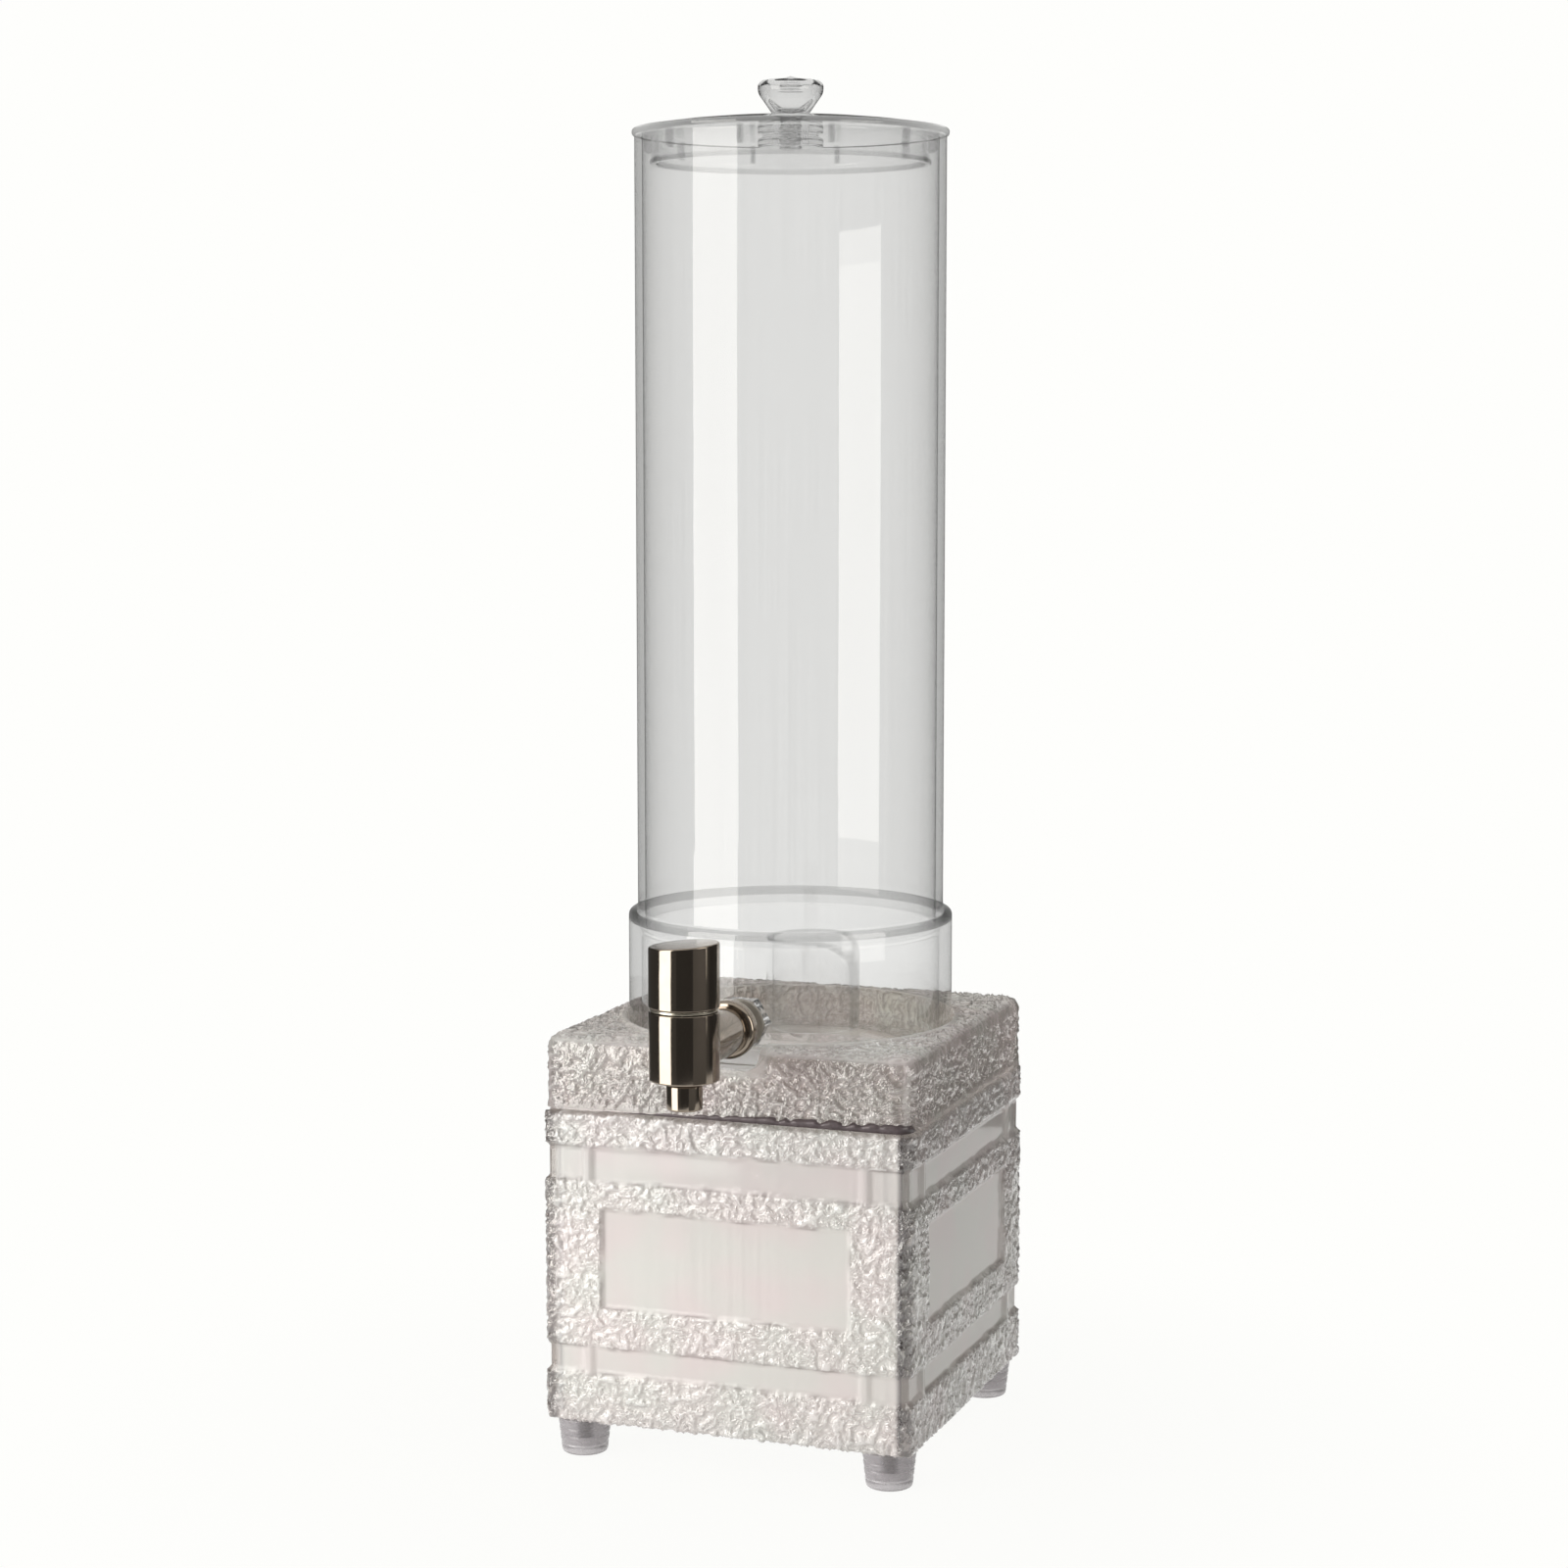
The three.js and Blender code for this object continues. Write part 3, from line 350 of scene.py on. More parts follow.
def clear_acrylic(name, index, coat, density, tints=("#FCFCFC", "#F8F8F8"), marked=False):
    """Polished clear acrylic with faint drawing lines. marked takes the coat off where a piece is dull."""
    made = blank(name)
    tree = made.node_tree
    place = node(tree, "ShaderNodeTexCoord")
    drawn = node(tree, "ShaderNodeMapping", {
        "Vector": place.outputs["Object"], "Scale": (1 / DRAW_LINE, 1 / DRAW_LINE, 1 / DRAW_LENGTH)})
    lines = node(tree, "ShaderNodeTexNoise", {"Vector": drawn, "Scale": 1.0, "Detail": 2.0})
    polish = node(tree, "ShaderNodeMapRange", {"Value": lines, "To Min": 0.0, "To Max": DRAW_POLISH})
    tint = node(tree, "ShaderNodeMix", {
        0: lines, 6: linear(tints[0]), 7: linear(tints[1])}, data_type="RGBA")
    if marked:
        dull = node(tree, "ShaderNodeAttribute", attribute_name="dull")
        coat = node(tree, "ShaderNodeMath", {0: coat, 1: dull.outputs["Fac"]}, operation="SUBTRACT",
                    use_clamp=True)
    ripple = node(tree, "ShaderNodeBump", {
        "Strength": DRAW_STRENGTH, "Distance": DRAW_DEPTH, "Height": lines})
    wall = node(tree, "ShaderNodeBsdfPrincipled", {
        "Base Color": tint.outputs[2], "Roughness": polish, "IOR": index, "Transmission Weight": 1.0,
        "Normal": ripple, "Coat Weight": coat, "Coat Roughness": COAT_POLISH, "Coat IOR": ACRYLIC_INDEX,
        "Coat Normal": ripple})
    mixed = let_light_pass(tree, wall, "#FEFEFD")
    depth = node(tree, "ShaderNodeVolumeAbsorption", {"Color": linear(SWALLOWED), "Density": density})
    node(tree, "ShaderNodeOutputMaterial", {"Surface": mixed, "Volume": depth})
    return made


COLOURLESS = ("#FFFFFF", "#FEFEFE")
CLEAR = clear_acrylic("clear_acrylic_wall", WALL_INDEX, 1.0, 21.0, ("#FAFAFA", "#F5F5F5"), marked=True)
SKIN_CLEAR = clear_acrylic("clear_acrylic_skin", WALL_INDEX, 0.0, 180.0, COLOURLESS)
PALE_CLEAR = clear_acrylic("clear_acrylic_pale", WALL_INDEX, 1.0, 11.0, COLOURLESS, marked=True)
LID_CLEAR = clear_acrylic("clear_acrylic_lid", WALL_INDEX, 1.0, 24.0)
RIB_CLEAR = clear_acrylic("clear_acrylic_rib", WALL_INDEX, 1.0, 230.0)
RIM_CLEAR = clear_acrylic("clear_acrylic_rim", WALL_INDEX, 1.0, 130.0)
SOLID_CLEAR = clear_acrylic("clear_acrylic_solid", ACRYLIC_INDEX, 0.0, 14.0)
KNOB_CLEAR = clear_acrylic("clear_acrylic_knob", KNOB_INDEX, 0.3, 75.0)
CLEARS = (CLEAR, SKIN_CLEAR, PALE_CLEAR, LID_CLEAR, RIB_CLEAR, RIM_CLEAR, SOLID_CLEAR, KNOB_CLEAR)
print("made", [finish.name for finish in CLEARS])

# %% [markdown]
# The base is moulded in acrylic too, in a mould whose steel was worked into an ice pattern. The large
# crinkles are real geometry further down, which also leaves four point attributes: ice, where the surface
# is crinkled, crease, how deep a point lies, one for where the white sheet is close behind, which also
# carries painted light and shade, and line, painted shade at the foot of a step in the relief. This finish
# is milky where the sheet is behind and clear elsewhere, and its dark valleys there are painted shade for
# the dark seen through the plastic. The relief is coloured with painted light and shade: a lighter painted
# highlight on the crests, and the flanks of the ridges painted darkest, as painted shade where clear plastic
# bends the light away. Fine folds lie on the flakes, and patches have the faint pink and green tints of a
# thin film. The cap has no sheet behind it and gets a mix of its own, with paler valleys.

# %% Ice acrylic
FOLD = 2.6 * MM
FOLD_DEPTH = 0.45 * MM
# Colour of the painted shade at the foot of a step in the relief.
PAINTED_STEP_SHADE = "#8E8684"
PLAIN = "#EEEAE8"
TINT_PATCH = 26 * MM
FILM = ((0.35, "#FCF6F6"), (0.65, "#F8FAF7"))
ICE_SWALLOWED = "#BDB8B7"
ICE_POLISH = (0.03, 0.08)
CLEARNESS = 0.94
VALLEY_FROM = 0.35
VALLEY_TO = 0.95
FLANK_FROM = 0.1
FLANK_TO = 0.25
FLANK_SHARE = 0.8
ICE_COAT = 0.9
ICE_COAT_INDEX = 1.8
PLAIN_SHINE = 0.1
ICE_SHINE = 0.5


def ice_acrylic(name, milky_clearness, density, painted_crest_highlight, milky, clear):
    """Ice-crinkled acrylic with painted light and shade: the crest colour is a painted highlight, and milky
    and clear give the colours of valleys and flanks there, the flanks as painted shade.
    """
    made = blank(name)
    tree = made.node_tree
    place = node(tree, "ShaderNodeTexCoord")
    iced = node(tree, "ShaderNodeAttribute", attribute_name="ice")
    depth = node(tree, "ShaderNodeAttribute", attribute_name="crease")
    # This attribute gives the white sheet behind the housing, and also painted light and shade: a paler deck
    # and well on the cap, darker left and right faces on the housing.
    backing_and_painted_light = node(tree, "ShaderNodeAttribute", attribute_name="backing_and_painted_light")
    clear_share = node(tree, "ShaderNodeMapRange", {
        "Value": backing_and_painted_light.outputs["Fac"], "To Min": CLEARNESS, "To Max": milky_clearness})
    step = node(tree, "ShaderNodeAttribute", attribute_name="line")
    ripples = node(tree, "ShaderNodeTexNoise", {
        "Vector": place.outputs["Object"], "Scale": 1 / FOLD, "Detail": 1.0, "Distortion": 1.0})
    middled = node(tree, "ShaderNodeMath", {0: ripples, 1: 2.0, 2: -1.0}, operation="MULTIPLY_ADD")
    folded = node(tree, "ShaderNodeMath", {0: middled}, operation="ABSOLUTE")
    height = node(tree, "ShaderNodeMath", {0: folded, 1: iced.outputs["Fac"]}, operation="MULTIPLY")
    bump = node(tree, "ShaderNodeBump", {"Strength": 1.0, "Distance": FOLD_DEPTH, "Height": height})
    # Painted light and shade on the relief: crests get the painted highlight colour and valleys their own,
    # which where clear is painted dark for the shade seen through the plastic.
    fall = node(tree, "ShaderNodeMapRange", {
        "Value": depth.outputs["Fac"], "From Min": VALLEY_FROM, "From Max": VALLEY_TO})
    low, side = [node(tree, "ShaderNodeMix", {
        0: backing_and_painted_light.outputs["Fac"], 6: linear(clear[part]), 7: linear(milky[part])}, data_type="RGBA")
        for part in ("valley", "painted_flank_shade")]
    relief = node(tree, "ShaderNodeMix", {0: fall, 6: linear(painted_crest_highlight), 7: low.outputs[2]}, data_type="RGBA")
    # Painted shade on the flanks, halfway between crest and valley.
    high = node(tree, "ShaderNodeMath", {0: 1.0, 1: depth.outputs["Fac"]}, operation="SUBTRACT",
                use_clamp=True)
    slope = node(tree, "ShaderNodeMath", {0: high, 1: depth.outputs["Fac"]}, operation="MULTIPLY")
    painted_flank_share = node(tree, "ShaderNodeMapRange", {
        "Value": slope, "From Min": FLANK_FROM, "From Max": FLANK_TO, "To Max": FLANK_SHARE})
    flank_shaded_colour = node(tree, "ShaderNodeMix", {0: painted_flank_share, 6: relief.outputs[2], 7: side.outputs[2]},
                 data_type="RGBA")
    body = node(tree, "ShaderNodeMix", {0: iced.outputs["Fac"], 6: linear(PLAIN), 7: flank_shaded_colour.outputs[2]},
                data_type="RGBA")
    # Painted shade at the foot of a step, where the line attribute asks for it.
    shade = node(tree, "ShaderNodeMix", {0: step.outputs["Fac"], 6: body.outputs[2], 7: linear(PAINTED_STEP_SHADE)},
                 data_type="RGBA")
    patches = node(tree, "ShaderNodeTexNoise", {
        "Vector": place.outputs["Object"], "Scale": 1 / TINT_PATCH, "Detail": 1.0})
    film = node(tree, "ShaderNodeValToRGB", {"Fac": patches})
    for stop, (position, colour) in zip(film.color_ramp.elements, FILM):
        stop.position = position
        stop.color = linear(colour)
    tinted = node(tree, "ShaderNodeMix", {0: 1.0, 6: shade.outputs[2], 7: film},
                  data_type="RGBA", blend_type="MULTIPLY")
    polish = node(tree, "ShaderNodeMapRange", {
        "Value": ripples, "To Min": ICE_POLISH[0], "To Max": ICE_POLISH[1]})
    coat = node(tree, "ShaderNodeMath", {0: iced.outputs["Fac"], 1: ICE_COAT}, operation="MULTIPLY")
    shine = node(tree, "ShaderNodeMapRange", {
        "Value": iced.outputs["Fac"], "To Min": PLAIN_SHINE, "To Max": ICE_SHINE})
    wall = node(tree, "ShaderNodeBsdfPrincipled", {
        "Base Color": tinted.outputs[2], "Roughness": polish, "IOR": ACRYLIC_INDEX,
        "Transmission Weight": clear_share, "Normal": bump, "Specular IOR Level": shine,
        "Coat Weight": coat, "Coat Roughness": COAT_POLISH, "Coat IOR": ICE_COAT_INDEX, "Coat Normal": bump})
    mixed = let_light_pass(tree, wall, "#F7F6F4")
    swallow = node(tree, "ShaderNodeVolumeAbsorption", {"Color": linear(ICE_SWALLOWED), "Density": density})
    node(tree, "ShaderNodeOutputMaterial", {"Surface": mixed, "Volume": swallow})
    return made


# On both finishes the crest colour is a painted highlight and the flank colours are painted shade; the dark
# clear valleys of the housing are painted shade too.
ICE = ice_acrylic(
    "milky_ice_acrylic", 0.45, 8.0, painted_crest_highlight="#FCFAF8",
    milky={"valley": "#F1EDEA", "painted_flank_shade": "#CFCAC6"}, clear={"valley": "#5E5456", "painted_flank_shade": "#4E4547"})
CAP_ICE = ice_acrylic(
    "clear_ice_acrylic", 0.38, 6.0, painted_crest_highlight="#FEFAF8",
    milky={"valley": "#FAF6F3", "painted_flank_shade": "#CAC4C0"}, clear={"valley": "#EFE0DE", "painted_flank_shade": "#7F6E6C"})
print("made", ICE.name, CAP_ICE.name)

# %% [markdown]
# A sheet of white plastic lines the base and makes its bands and windows look milky. It is matt, with a
# pearly cast: patches a few centimetres wide drift between warm white, pale pink and pale green.

# %% Pearl white sheet
PEARL_PATCH = 30 * MM
PEARL_CAST = ((0.32, "#D6CECC"), (0.5, "#D6D1CD"), (0.68, "#D0D0CB"))
SHEET_GRAIN = 0.8 * MM
GRAIN_DEPTH = 0.05 * MM
SHEET_POLISH = (0.5, 0.7)


def pearl_sheet():
    """Matt white sheet with a pearly cast."""
    made = blank("pearl_white_sheet")
    tree = made.node_tree
    place = node(tree, "ShaderNodeTexCoord")
    drift = node(tree, "ShaderNodeTexNoise", {
        "Vector": place.outputs["Object"], "Scale": 1 / PEARL_PATCH, "Detail": 2.0, "Distortion": 0.6})
    cast = node(tree, "ShaderNodeValToRGB", {"Fac": drift})
    cast.color_ramp.elements.new(0.5)
    for stop, (position, colour) in zip(cast.color_ramp.elements, PEARL_CAST):
        stop.position = position
        stop.color = linear(colour)
    grain = node(tree, "ShaderNodeTexNoise", {"Vector": place.outputs["Object"], "Scale": 1 / SHEET_GRAIN})
    matt = node(tree, "ShaderNodeMapRange", {
        "Value": grain, "To Min": SHEET_POLISH[0], "To Max": SHEET_POLISH[1]})
    bump = node(tree, "ShaderNodeBump", {"Strength": 0.1, "Distance": GRAIN_DEPTH, "Height": grain})
    sheet = node(tree, "ShaderNodeBsdfPrincipled", {
        "Base Color": cast, "Roughness": matt, "Normal": bump})
    node(tree, "ShaderNodeOutputMaterial", {"Surface": sheet})
    return made


PEARL = pearl_sheet()
print("made", PEARL.name)

# %% [markdown]
# The tap is turned brass with a dark nickel plate, polished but still carrying the finest lines of the
# lathe. A metal keeps the default index: its colour does the work. The seam ring, the screws and the
# hidden valve are plain turned steel with deeper lines. Lines run round each piece, so they are drawn by
# height.

# %% Turned metals
LATHE_LINE = 0.35 * MM
LATHE_ALONG = 50 * MM
LATHE_DEPTH = 0.02 * MM
SMUDGE = 9 * MM


def turned_metal(name, bright, dull, smooth, rough, line_strength):
    """A turned metal with lines round its axis and soft smudges in its polish."""
    made = blank(name)
    tree = made.node_tree
    place = node(tree, "ShaderNodeTexCoord")
    stacked = node(tree, "ShaderNodeMapping", {
        "Vector": place.outputs["Object"], "Scale": (1 / LATHE_ALONG, 1 / LATHE_ALONG, 1 / LATHE_LINE)})
    lines = node(tree, "ShaderNodeTexNoise", {"Vector": stacked, "Scale": 1.0, "Detail": 1.0})
    smudges = node(tree, "ShaderNodeTexNoise", {
        "Vector": place.outputs["Object"], "Scale": 1 / SMUDGE, "Detail": 3.0})
    colour = node(tree, "ShaderNodeMix", {
        0: smudges, 6: linear(bright), 7: linear(dull)}, data_type="RGBA")
    polish = node(tree, "ShaderNodeMapRange", {"Value": smudges, "To Min": smooth, "To Max": rough})
    bump = node(tree, "ShaderNodeBump", {
        "Strength": line_strength, "Distance": LATHE_DEPTH, "Height": lines})
    metal = node(tree, "ShaderNodeBsdfPrincipled", {
        "Base Color": colour.outputs[2], "Metallic": 1.0, "Roughness": polish, "Normal": bump})
    node(tree, "ShaderNodeOutputMaterial", {"Surface": metal})
    return made


NICKEL = turned_metal("dark_nickel_plate", "#9A8F83", "#8A7F73", 0.05, 0.13, 0.08)
STEEL = turned_metal("turned_stainless_steel", "#CBC5B8", "#B3AB9A", 0.18, 0.32, 0.25)
print("made", NICKEL.name, STEEL.name)

# %% [markdown]
# The feet are translucent grey plastic, moulded, with cloudy flow marks. The tap's washers and seals are
# translucent silicone rubber, soft and slightly dusty. Both let some light in, so part of their shading is
# transmission with a rough surface.

# %% Smoke plastic and silicone
FLOW_MARK = 7 * MM
FLOW_SQUASH = 2.5
DUST = 1.2 * MM
CLOUD_DEPTH = 0.2 * MM
MOULDING_INDEX = 1.45


def cloudy(name, pale, dark, patch, smooth, rough, clearness):
    """A cloudy, partly clear moulding."""
    made = blank(name)
    tree = made.node_tree
    place = node(tree, "ShaderNodeTexCoord")
    flow = node(tree, "ShaderNodeMapping", {
        "Vector": place.outputs["Object"], "Scale": (1.0, 1.0, FLOW_SQUASH)})
    clouds = node(tree, "ShaderNodeTexNoise", {
        "Vector": flow, "Scale": 1 / patch, "Detail": 3.0, "Distortion": 0.8})
    colour = node(tree, "ShaderNodeMix", {
        0: clouds, 6: linear(pale), 7: linear(dark)}, data_type="RGBA")
    polish = node(tree, "ShaderNodeMapRange", {"Value": clouds, "To Min": smooth, "To Max": rough})
    bump = node(tree, "ShaderNodeBump", {"Strength": 0.15, "Distance": CLOUD_DEPTH, "Height": clouds})
    body = node(tree, "ShaderNodeBsdfPrincipled", {
        "Base Color": colour.outputs[2], "Roughness": polish, "IOR": MOULDING_INDEX,
        "Transmission Weight": clearness, "Normal": bump})
    node(tree, "ShaderNodeOutputMaterial", {"Surface": body})
    return made


SMOKE = cloudy("smoke_grey_moulding", "#CFCACC", "#A7A0A3", FLOW_MARK, 0.2, 0.34, 0.6)
SILICONE = cloudy("translucent_silicone", "#DCD3C9", "#C2B8AC", DUST, 0.35, 0.55, 0.2)
print("made", SMOKE.name, SILICONE.name)

# %% [markdown]
# Most of the tower is turned: a profile swept round an axis. A profile here is a list of corners, each with
# a radius, a height and a fillet, and the fillets become true arcs. That keeps the list as short as a
# drawing would be, and every edge catches light as a moulded or machined edge does.

# %% Helpers for turned pieces
ARC_STEP = math.radians(12)
ON_AXIS = 1e-6
SHARP = math.radians(38)
FINE = 192


def rounded(corners, closed=True):
    """A profile's points, with each corner's fillet as an arc."""
    path = []
    for place, (radius, height, fillet) in enumerate(corners):
        here = Vector((radius, height))
        at_end = not closed and place in (0, len(corners) - 1)
        if fillet == 0 or at_end:
            path.append(here)
            continue
        back = (Vector(corners[place - 1][:2]) - here).normalized()
        ahead = (Vector(corners[(place + 1) % len(corners)][:2]) - here).normalized()
        half = back.angle(ahead) / 2
        centre = here + (back + ahead).normalized() * (fillet / math.sin(half))
        start = here + back * (fillet / math.tan(half)) - centre
        end = here + ahead * (fillet / math.tan(half)) - centre
        first = math.atan2(start.y, start.x)
        sweep = math.remainder(math.atan2(end.y, end.x) - first, math.tau)
        steps = max(2, round(abs(sweep) / ARC_STEP))
        for step in range(steps + 1):
            turn = first + sweep * step / steps
            path.append(centre + fillet * Vector((math.cos(turn), math.sin(turn))))
    return path


def with_rows(path, row):
    """The same path with its long stretches divided into rows."""
    finer = [path[0]]
    for before, after in zip(path, path[1:]):
        parts = max(1, round((after - before).length / row))
        finer.extend(before.lerp(after, part / parts) for part in range(1, parts + 1))
    return finer


def sweep_round(shape, path, closed, axis, forward, segments):
    """Adds a swept path to a bmesh and returns its faces, turned outwards."""
    rings = []
    for radius, along in path:
        turns = [0] if radius < ON_AXIS else [math.tau * i / segments for i in range(segments)]
        ring = []
        for turn in turns:
            side = axis[0] + radius * math.cos(turn)
            other = axis[1] + radius * math.sin(turn)
            point = (side, along, other) if forward else (side, other, along)
            ring.append(shape.verts.new(Vector(point) * MM))
        rings.append(ring)
    faces = []
    for ring, after in zip(rings, rings[1:] + rings[:1] if closed else rings[1:]):
        for i in range(segments):
            loop = [ring[i % len(ring)], ring[(i + 1) % len(ring)]]
            loop += [after[(i + 1) % len(after)], after[i % len(after)]]
            loop = list(dict.fromkeys(loop))
            if len(loop) > 2:
                faces.append(shape.faces.new(loop))
    bmesh.ops.recalc_face_normals(shape, faces=faces)
    return faces


def show(shape, name):
    """Makes an object of a bmesh, smooth but for its sharp edges."""
    mesh = bpy.data.meshes.new(name)
    shape.to_mesh(mesh)
    shape.free()
    mesh.shade_smooth()
    mesh.set_sharp_from_angle(angle=SHARP)
    made = bpy.data.objects.new(name, mesh)
    scene.collection.objects.link(made)
    return made


def turned(name, corners, axis=TOWER, closed=True, forward=False, segments=144, row=None, bubble=None):
    """A turned piece. forward turns it about Y instead of Z, and bubble is a hollow sealed inside."""
    shape = bmesh.new()
    path = rounded(corners, closed)
    if row:
        path = with_rows(path, row)
    sweep_round(shape, path, closed, axis, forward, segments)
    if bubble:
        inside = sweep_round(shape, rounded(bubble, False), False, axis, forward, segments)
        bmesh.ops.reverse_faces(shape, faces=inside)
    return show(shape, name)


def ring(inner, outer, low, high, edge):
    """The corners of a plain ring's section."""
    return [(inner, low, edge), (outer, low, edge), (outer, high, edge), (inner, high, edge)]


print("arcs every", round(math.degrees(ARC_STEP)), "degrees")

# %% [markdown]
# More helpers finish a piece. One turns its modifiers into a plain mesh, one cuts a piece with another, and
# others draw a rod or a block to cut with. The last ones write values on a piece's points, give it its
# finish and the body it rides on, and hide the CAD node it stands for.

# %% Helpers for finished pieces


def settle(made):
    """Replaces a piece and its modifiers by the plain mesh that they give."""
    graph = bpy.context.evaluated_depsgraph_get()
    seen = made.evaluated_get(graph)
    plain = bpy.data.meshes.new_from_object(seen, preserve_all_data_layers=True, depsgraph=graph)
    made.modifiers.clear()
    made.data = plain


def cut(made, tool, operation="DIFFERENCE"):
    """Cuts a piece with a tool shape, which is then removed."""
    change = made.modifiers.new("cut", "BOOLEAN")
    change.operation = operation
    change.solver = "EXACT"
    change.object = tool
    settle(made)
    bpy.data.objects.remove(tool)
    made.data.set_sharp_from_angle(angle=SHARP)


def rod(name, radius, start, end, axis=TOWER, forward=False, segments=64):
    """A plain turned rod between two heights, or between two places along Y."""
    corners = [(0, start, 0), (radius, start, 0), (radius, end, 0), (0, end, 0)]
    return turned(name, corners, axis=axis, closed=False, forward=forward, segments=segments)


def drawn_out(outline, step):
    """A bmesh of a flat outline, drawn out by a step."""
    shape = bmesh.new()
    loop = [shape.verts.new(Vector(point) * MM) for point in outline]
    grown = bmesh.ops.extrude_face_region(shape, geom=[shape.faces.new(loop)])
    moved = [part for part in grown["geom"] if isinstance(part, bmesh.types.BMVert)]
    bmesh.ops.translate(shape, verts=moved, vec=[length * MM for length in step])
    bmesh.ops.recalc_face_normals(shape, faces=shape.faces)
    return shape


def block(name, outline, front, back):
    """A block with an outline of x and z, from front to back along Y."""
    return show(drawn_out([(x, front, z) for x, z in outline], (0, back - front, 0)), name)


def soften(shape, width):
    """Bevels every edge of a bmesh."""
    bmesh.ops.bevel(shape, geom=shape.edges[:], offset=width * MM, segments=2, affect="EDGES", profile=0.5)


def arc(centre_x, centre_z, radius, start, end, steps=12):
    """Points of an arc in x and z, between two angles in degrees."""
    turns = [math.radians(start + (end - start) * step / steps) for step in range(steps + 1)]
    return [(centre_x + radius * math.cos(turn), centre_z + radius * math.sin(turn)) for turn in turns]


def note(made, name, values):
    """Gives each point of a piece a value, which node trees can read by name."""
    made.data.attributes.new(name, "FLOAT", "POINT").data.foreach_set("value", values)


def dress(made, finish, body, slot, *stands_for):
    """Gives a piece its finish and its body, and hides the nodes that it stands for. slot is not used."""
    made.data.materials.clear()
    made.data.materials.append(finish)
    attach(made, body)
    if stands_for:
        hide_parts(*stands_for)
    print(made.name, "has", len(made.data.polygons), "faces and rides on", body)


print("edges stay sharp above", round(math.degrees(SHARP)), "degrees")

# %% [markdown]
# The tank is a clear tube bonded into a clear collar. On the real one the tube is drawn and sawn to length,
# with its ends flamed smooth. It could be one turned ring, but the eye sees a dark line along its inside
# edge, so a thin denser skin inside is a piece of its own.

# %% Tube
TUBE_WALL = 4.0
SKIN = 0.33
SKIN_SHARE = 0.9
TUBE_RADIUS = tube_high.x - TOWER[0]
TUBE_INNER = TUBE_RADIUS - TUBE_WALL
tube = turned("drawn_tube", ring(TUBE_INNER + SKIN, TUBE_RADIUS, tube_low.z, tube_high.z, 0.7), segments=FINE)
middle = (TUBE_RADIUS + TUBE_INNER) / 2 * MM
axis = Vector((TOWER[0], TOWER[1])) * MM
note(tube, "dull", [float((vertex.co.xy - axis).length < middle) for vertex in tube.data.vertices])
dress(tube, CLEAR, "tank", "clear_acrylic", "tank_tube")
skin = turned("tube_skin", ring(
    TUBE_INNER, TUBE_INNER + SKIN_SHARE * SKIN, tube_low.z, tube_high.z, 0), segments=FINE)
dress(skin, SKIN_CLEAR, "tank", "clear_acrylic")

# %% [markdown]
# The collar is a moulded cup with a thick rounded rim, a socket for the tube and a hole for the tap. Its rim
# and its inner skin are pieces of their own too, so that they can be denser and show as grey lines. The hole
# is cut by a turned rod that lies along Y.

# %% Collar and seal
COLLAR_WALL = 6.5
COLLAR_FLOOR = 5.0
SOCKET_DEPTH = 10.0
COLLAR_RIM = 4.2
SEAT = 0.3
JOIN = 0.02
collar_low, collar_high = size("tank_collar")
COLLAR_RADIUS = collar_high.x - TOWER[0]
COLLAR_INNER = COLLAR_RADIUS - COLLAR_WALL
SOCKET_RADIUS = TUBE_RADIUS + SEAT
collar_floor = collar_low.z + COLLAR_FLOOR
socket_z = collar_high.z - SOCKET_DEPTH
rim_z = collar_high.z - COLLAR_RIM
collar = turned("moulded_collar", [
    (0, collar_low.z, 0), (COLLAR_RADIUS, collar_low.z, 2), (COLLAR_RADIUS, rim_z, 0),
    (SOCKET_RADIUS, rim_z, 0), (SOCKET_RADIUS, socket_z, 0), (COLLAR_INNER + SKIN, socket_z, 0.3),
    (COLLAR_INNER + SKIN, collar_floor, 4), (0, collar_floor, 0)], closed=False, segments=FINE)
collar_skin = turned("collar_skin", ring(
    COLLAR_INNER, COLLAR_INNER + SKIN_SHARE * SKIN, collar_floor + COLLAR_FLOOR, socket_z, 0), segments=FINE)
shank_low, shank_high = size("tap_shank")
TAP_Z = (shank_low.z + shank_high.z) / 2
TAP_LINE = (TAP[0], TAP_Z)
THREAD_RADIUS = 8.0
wall_front = TOWER[1] - COLLAR_RADIUS
for pierced in (collar, collar_skin):
    cut(pierced, rod(
        "tap_hole", THREAD_RADIUS + SEAT, wall_front - COLLAR_WALL, wall_front + 2 * COLLAR_WALL,
        axis=TAP_LINE, forward=True))
floor_reach = (COLLAR_INNER - COLLAR_FLOOR) * MM
note(collar, "dull", [float((vertex.co.xy - axis).length < floor_reach) for vertex in collar.data.vertices])
dress(collar, PALE_CLEAR, "tank", "clear_acrylic", "tank_collar")
dress(collar_skin, SKIN_CLEAR, "tank", "clear_acrylic")
rim = turned("collar_rim", [
    (SOCKET_RADIUS, rim_z + JOIN, 0), (COLLAR_RADIUS, rim_z + JOIN, 0), (COLLAR_RADIUS, collar_high.z, 2.4),
    (SOCKET_RADIUS, collar_high.z, 1.2)], segments=FINE)
dress(rim, RIM_CLEAR, "tank", "clear_acrylic")

seal_low, seal_high = size("tube_seal")
seal = turned("tube_seal_ring", ring(COLLAR_INNER + SEAT, TUBE_RADIUS, seal_low.z, seal_high.z, 0.6))
dress(seal, PALE_CLEAR, "tank", "silicone", "tube_seal")

# %% [markdown]
# Behind the axis a short clear cup stands on the collar's floor, with one side of its lip rounded down. The
# cup, its skin and its dense rim are turned, and blocks with the outline of the lip cut them to shape.

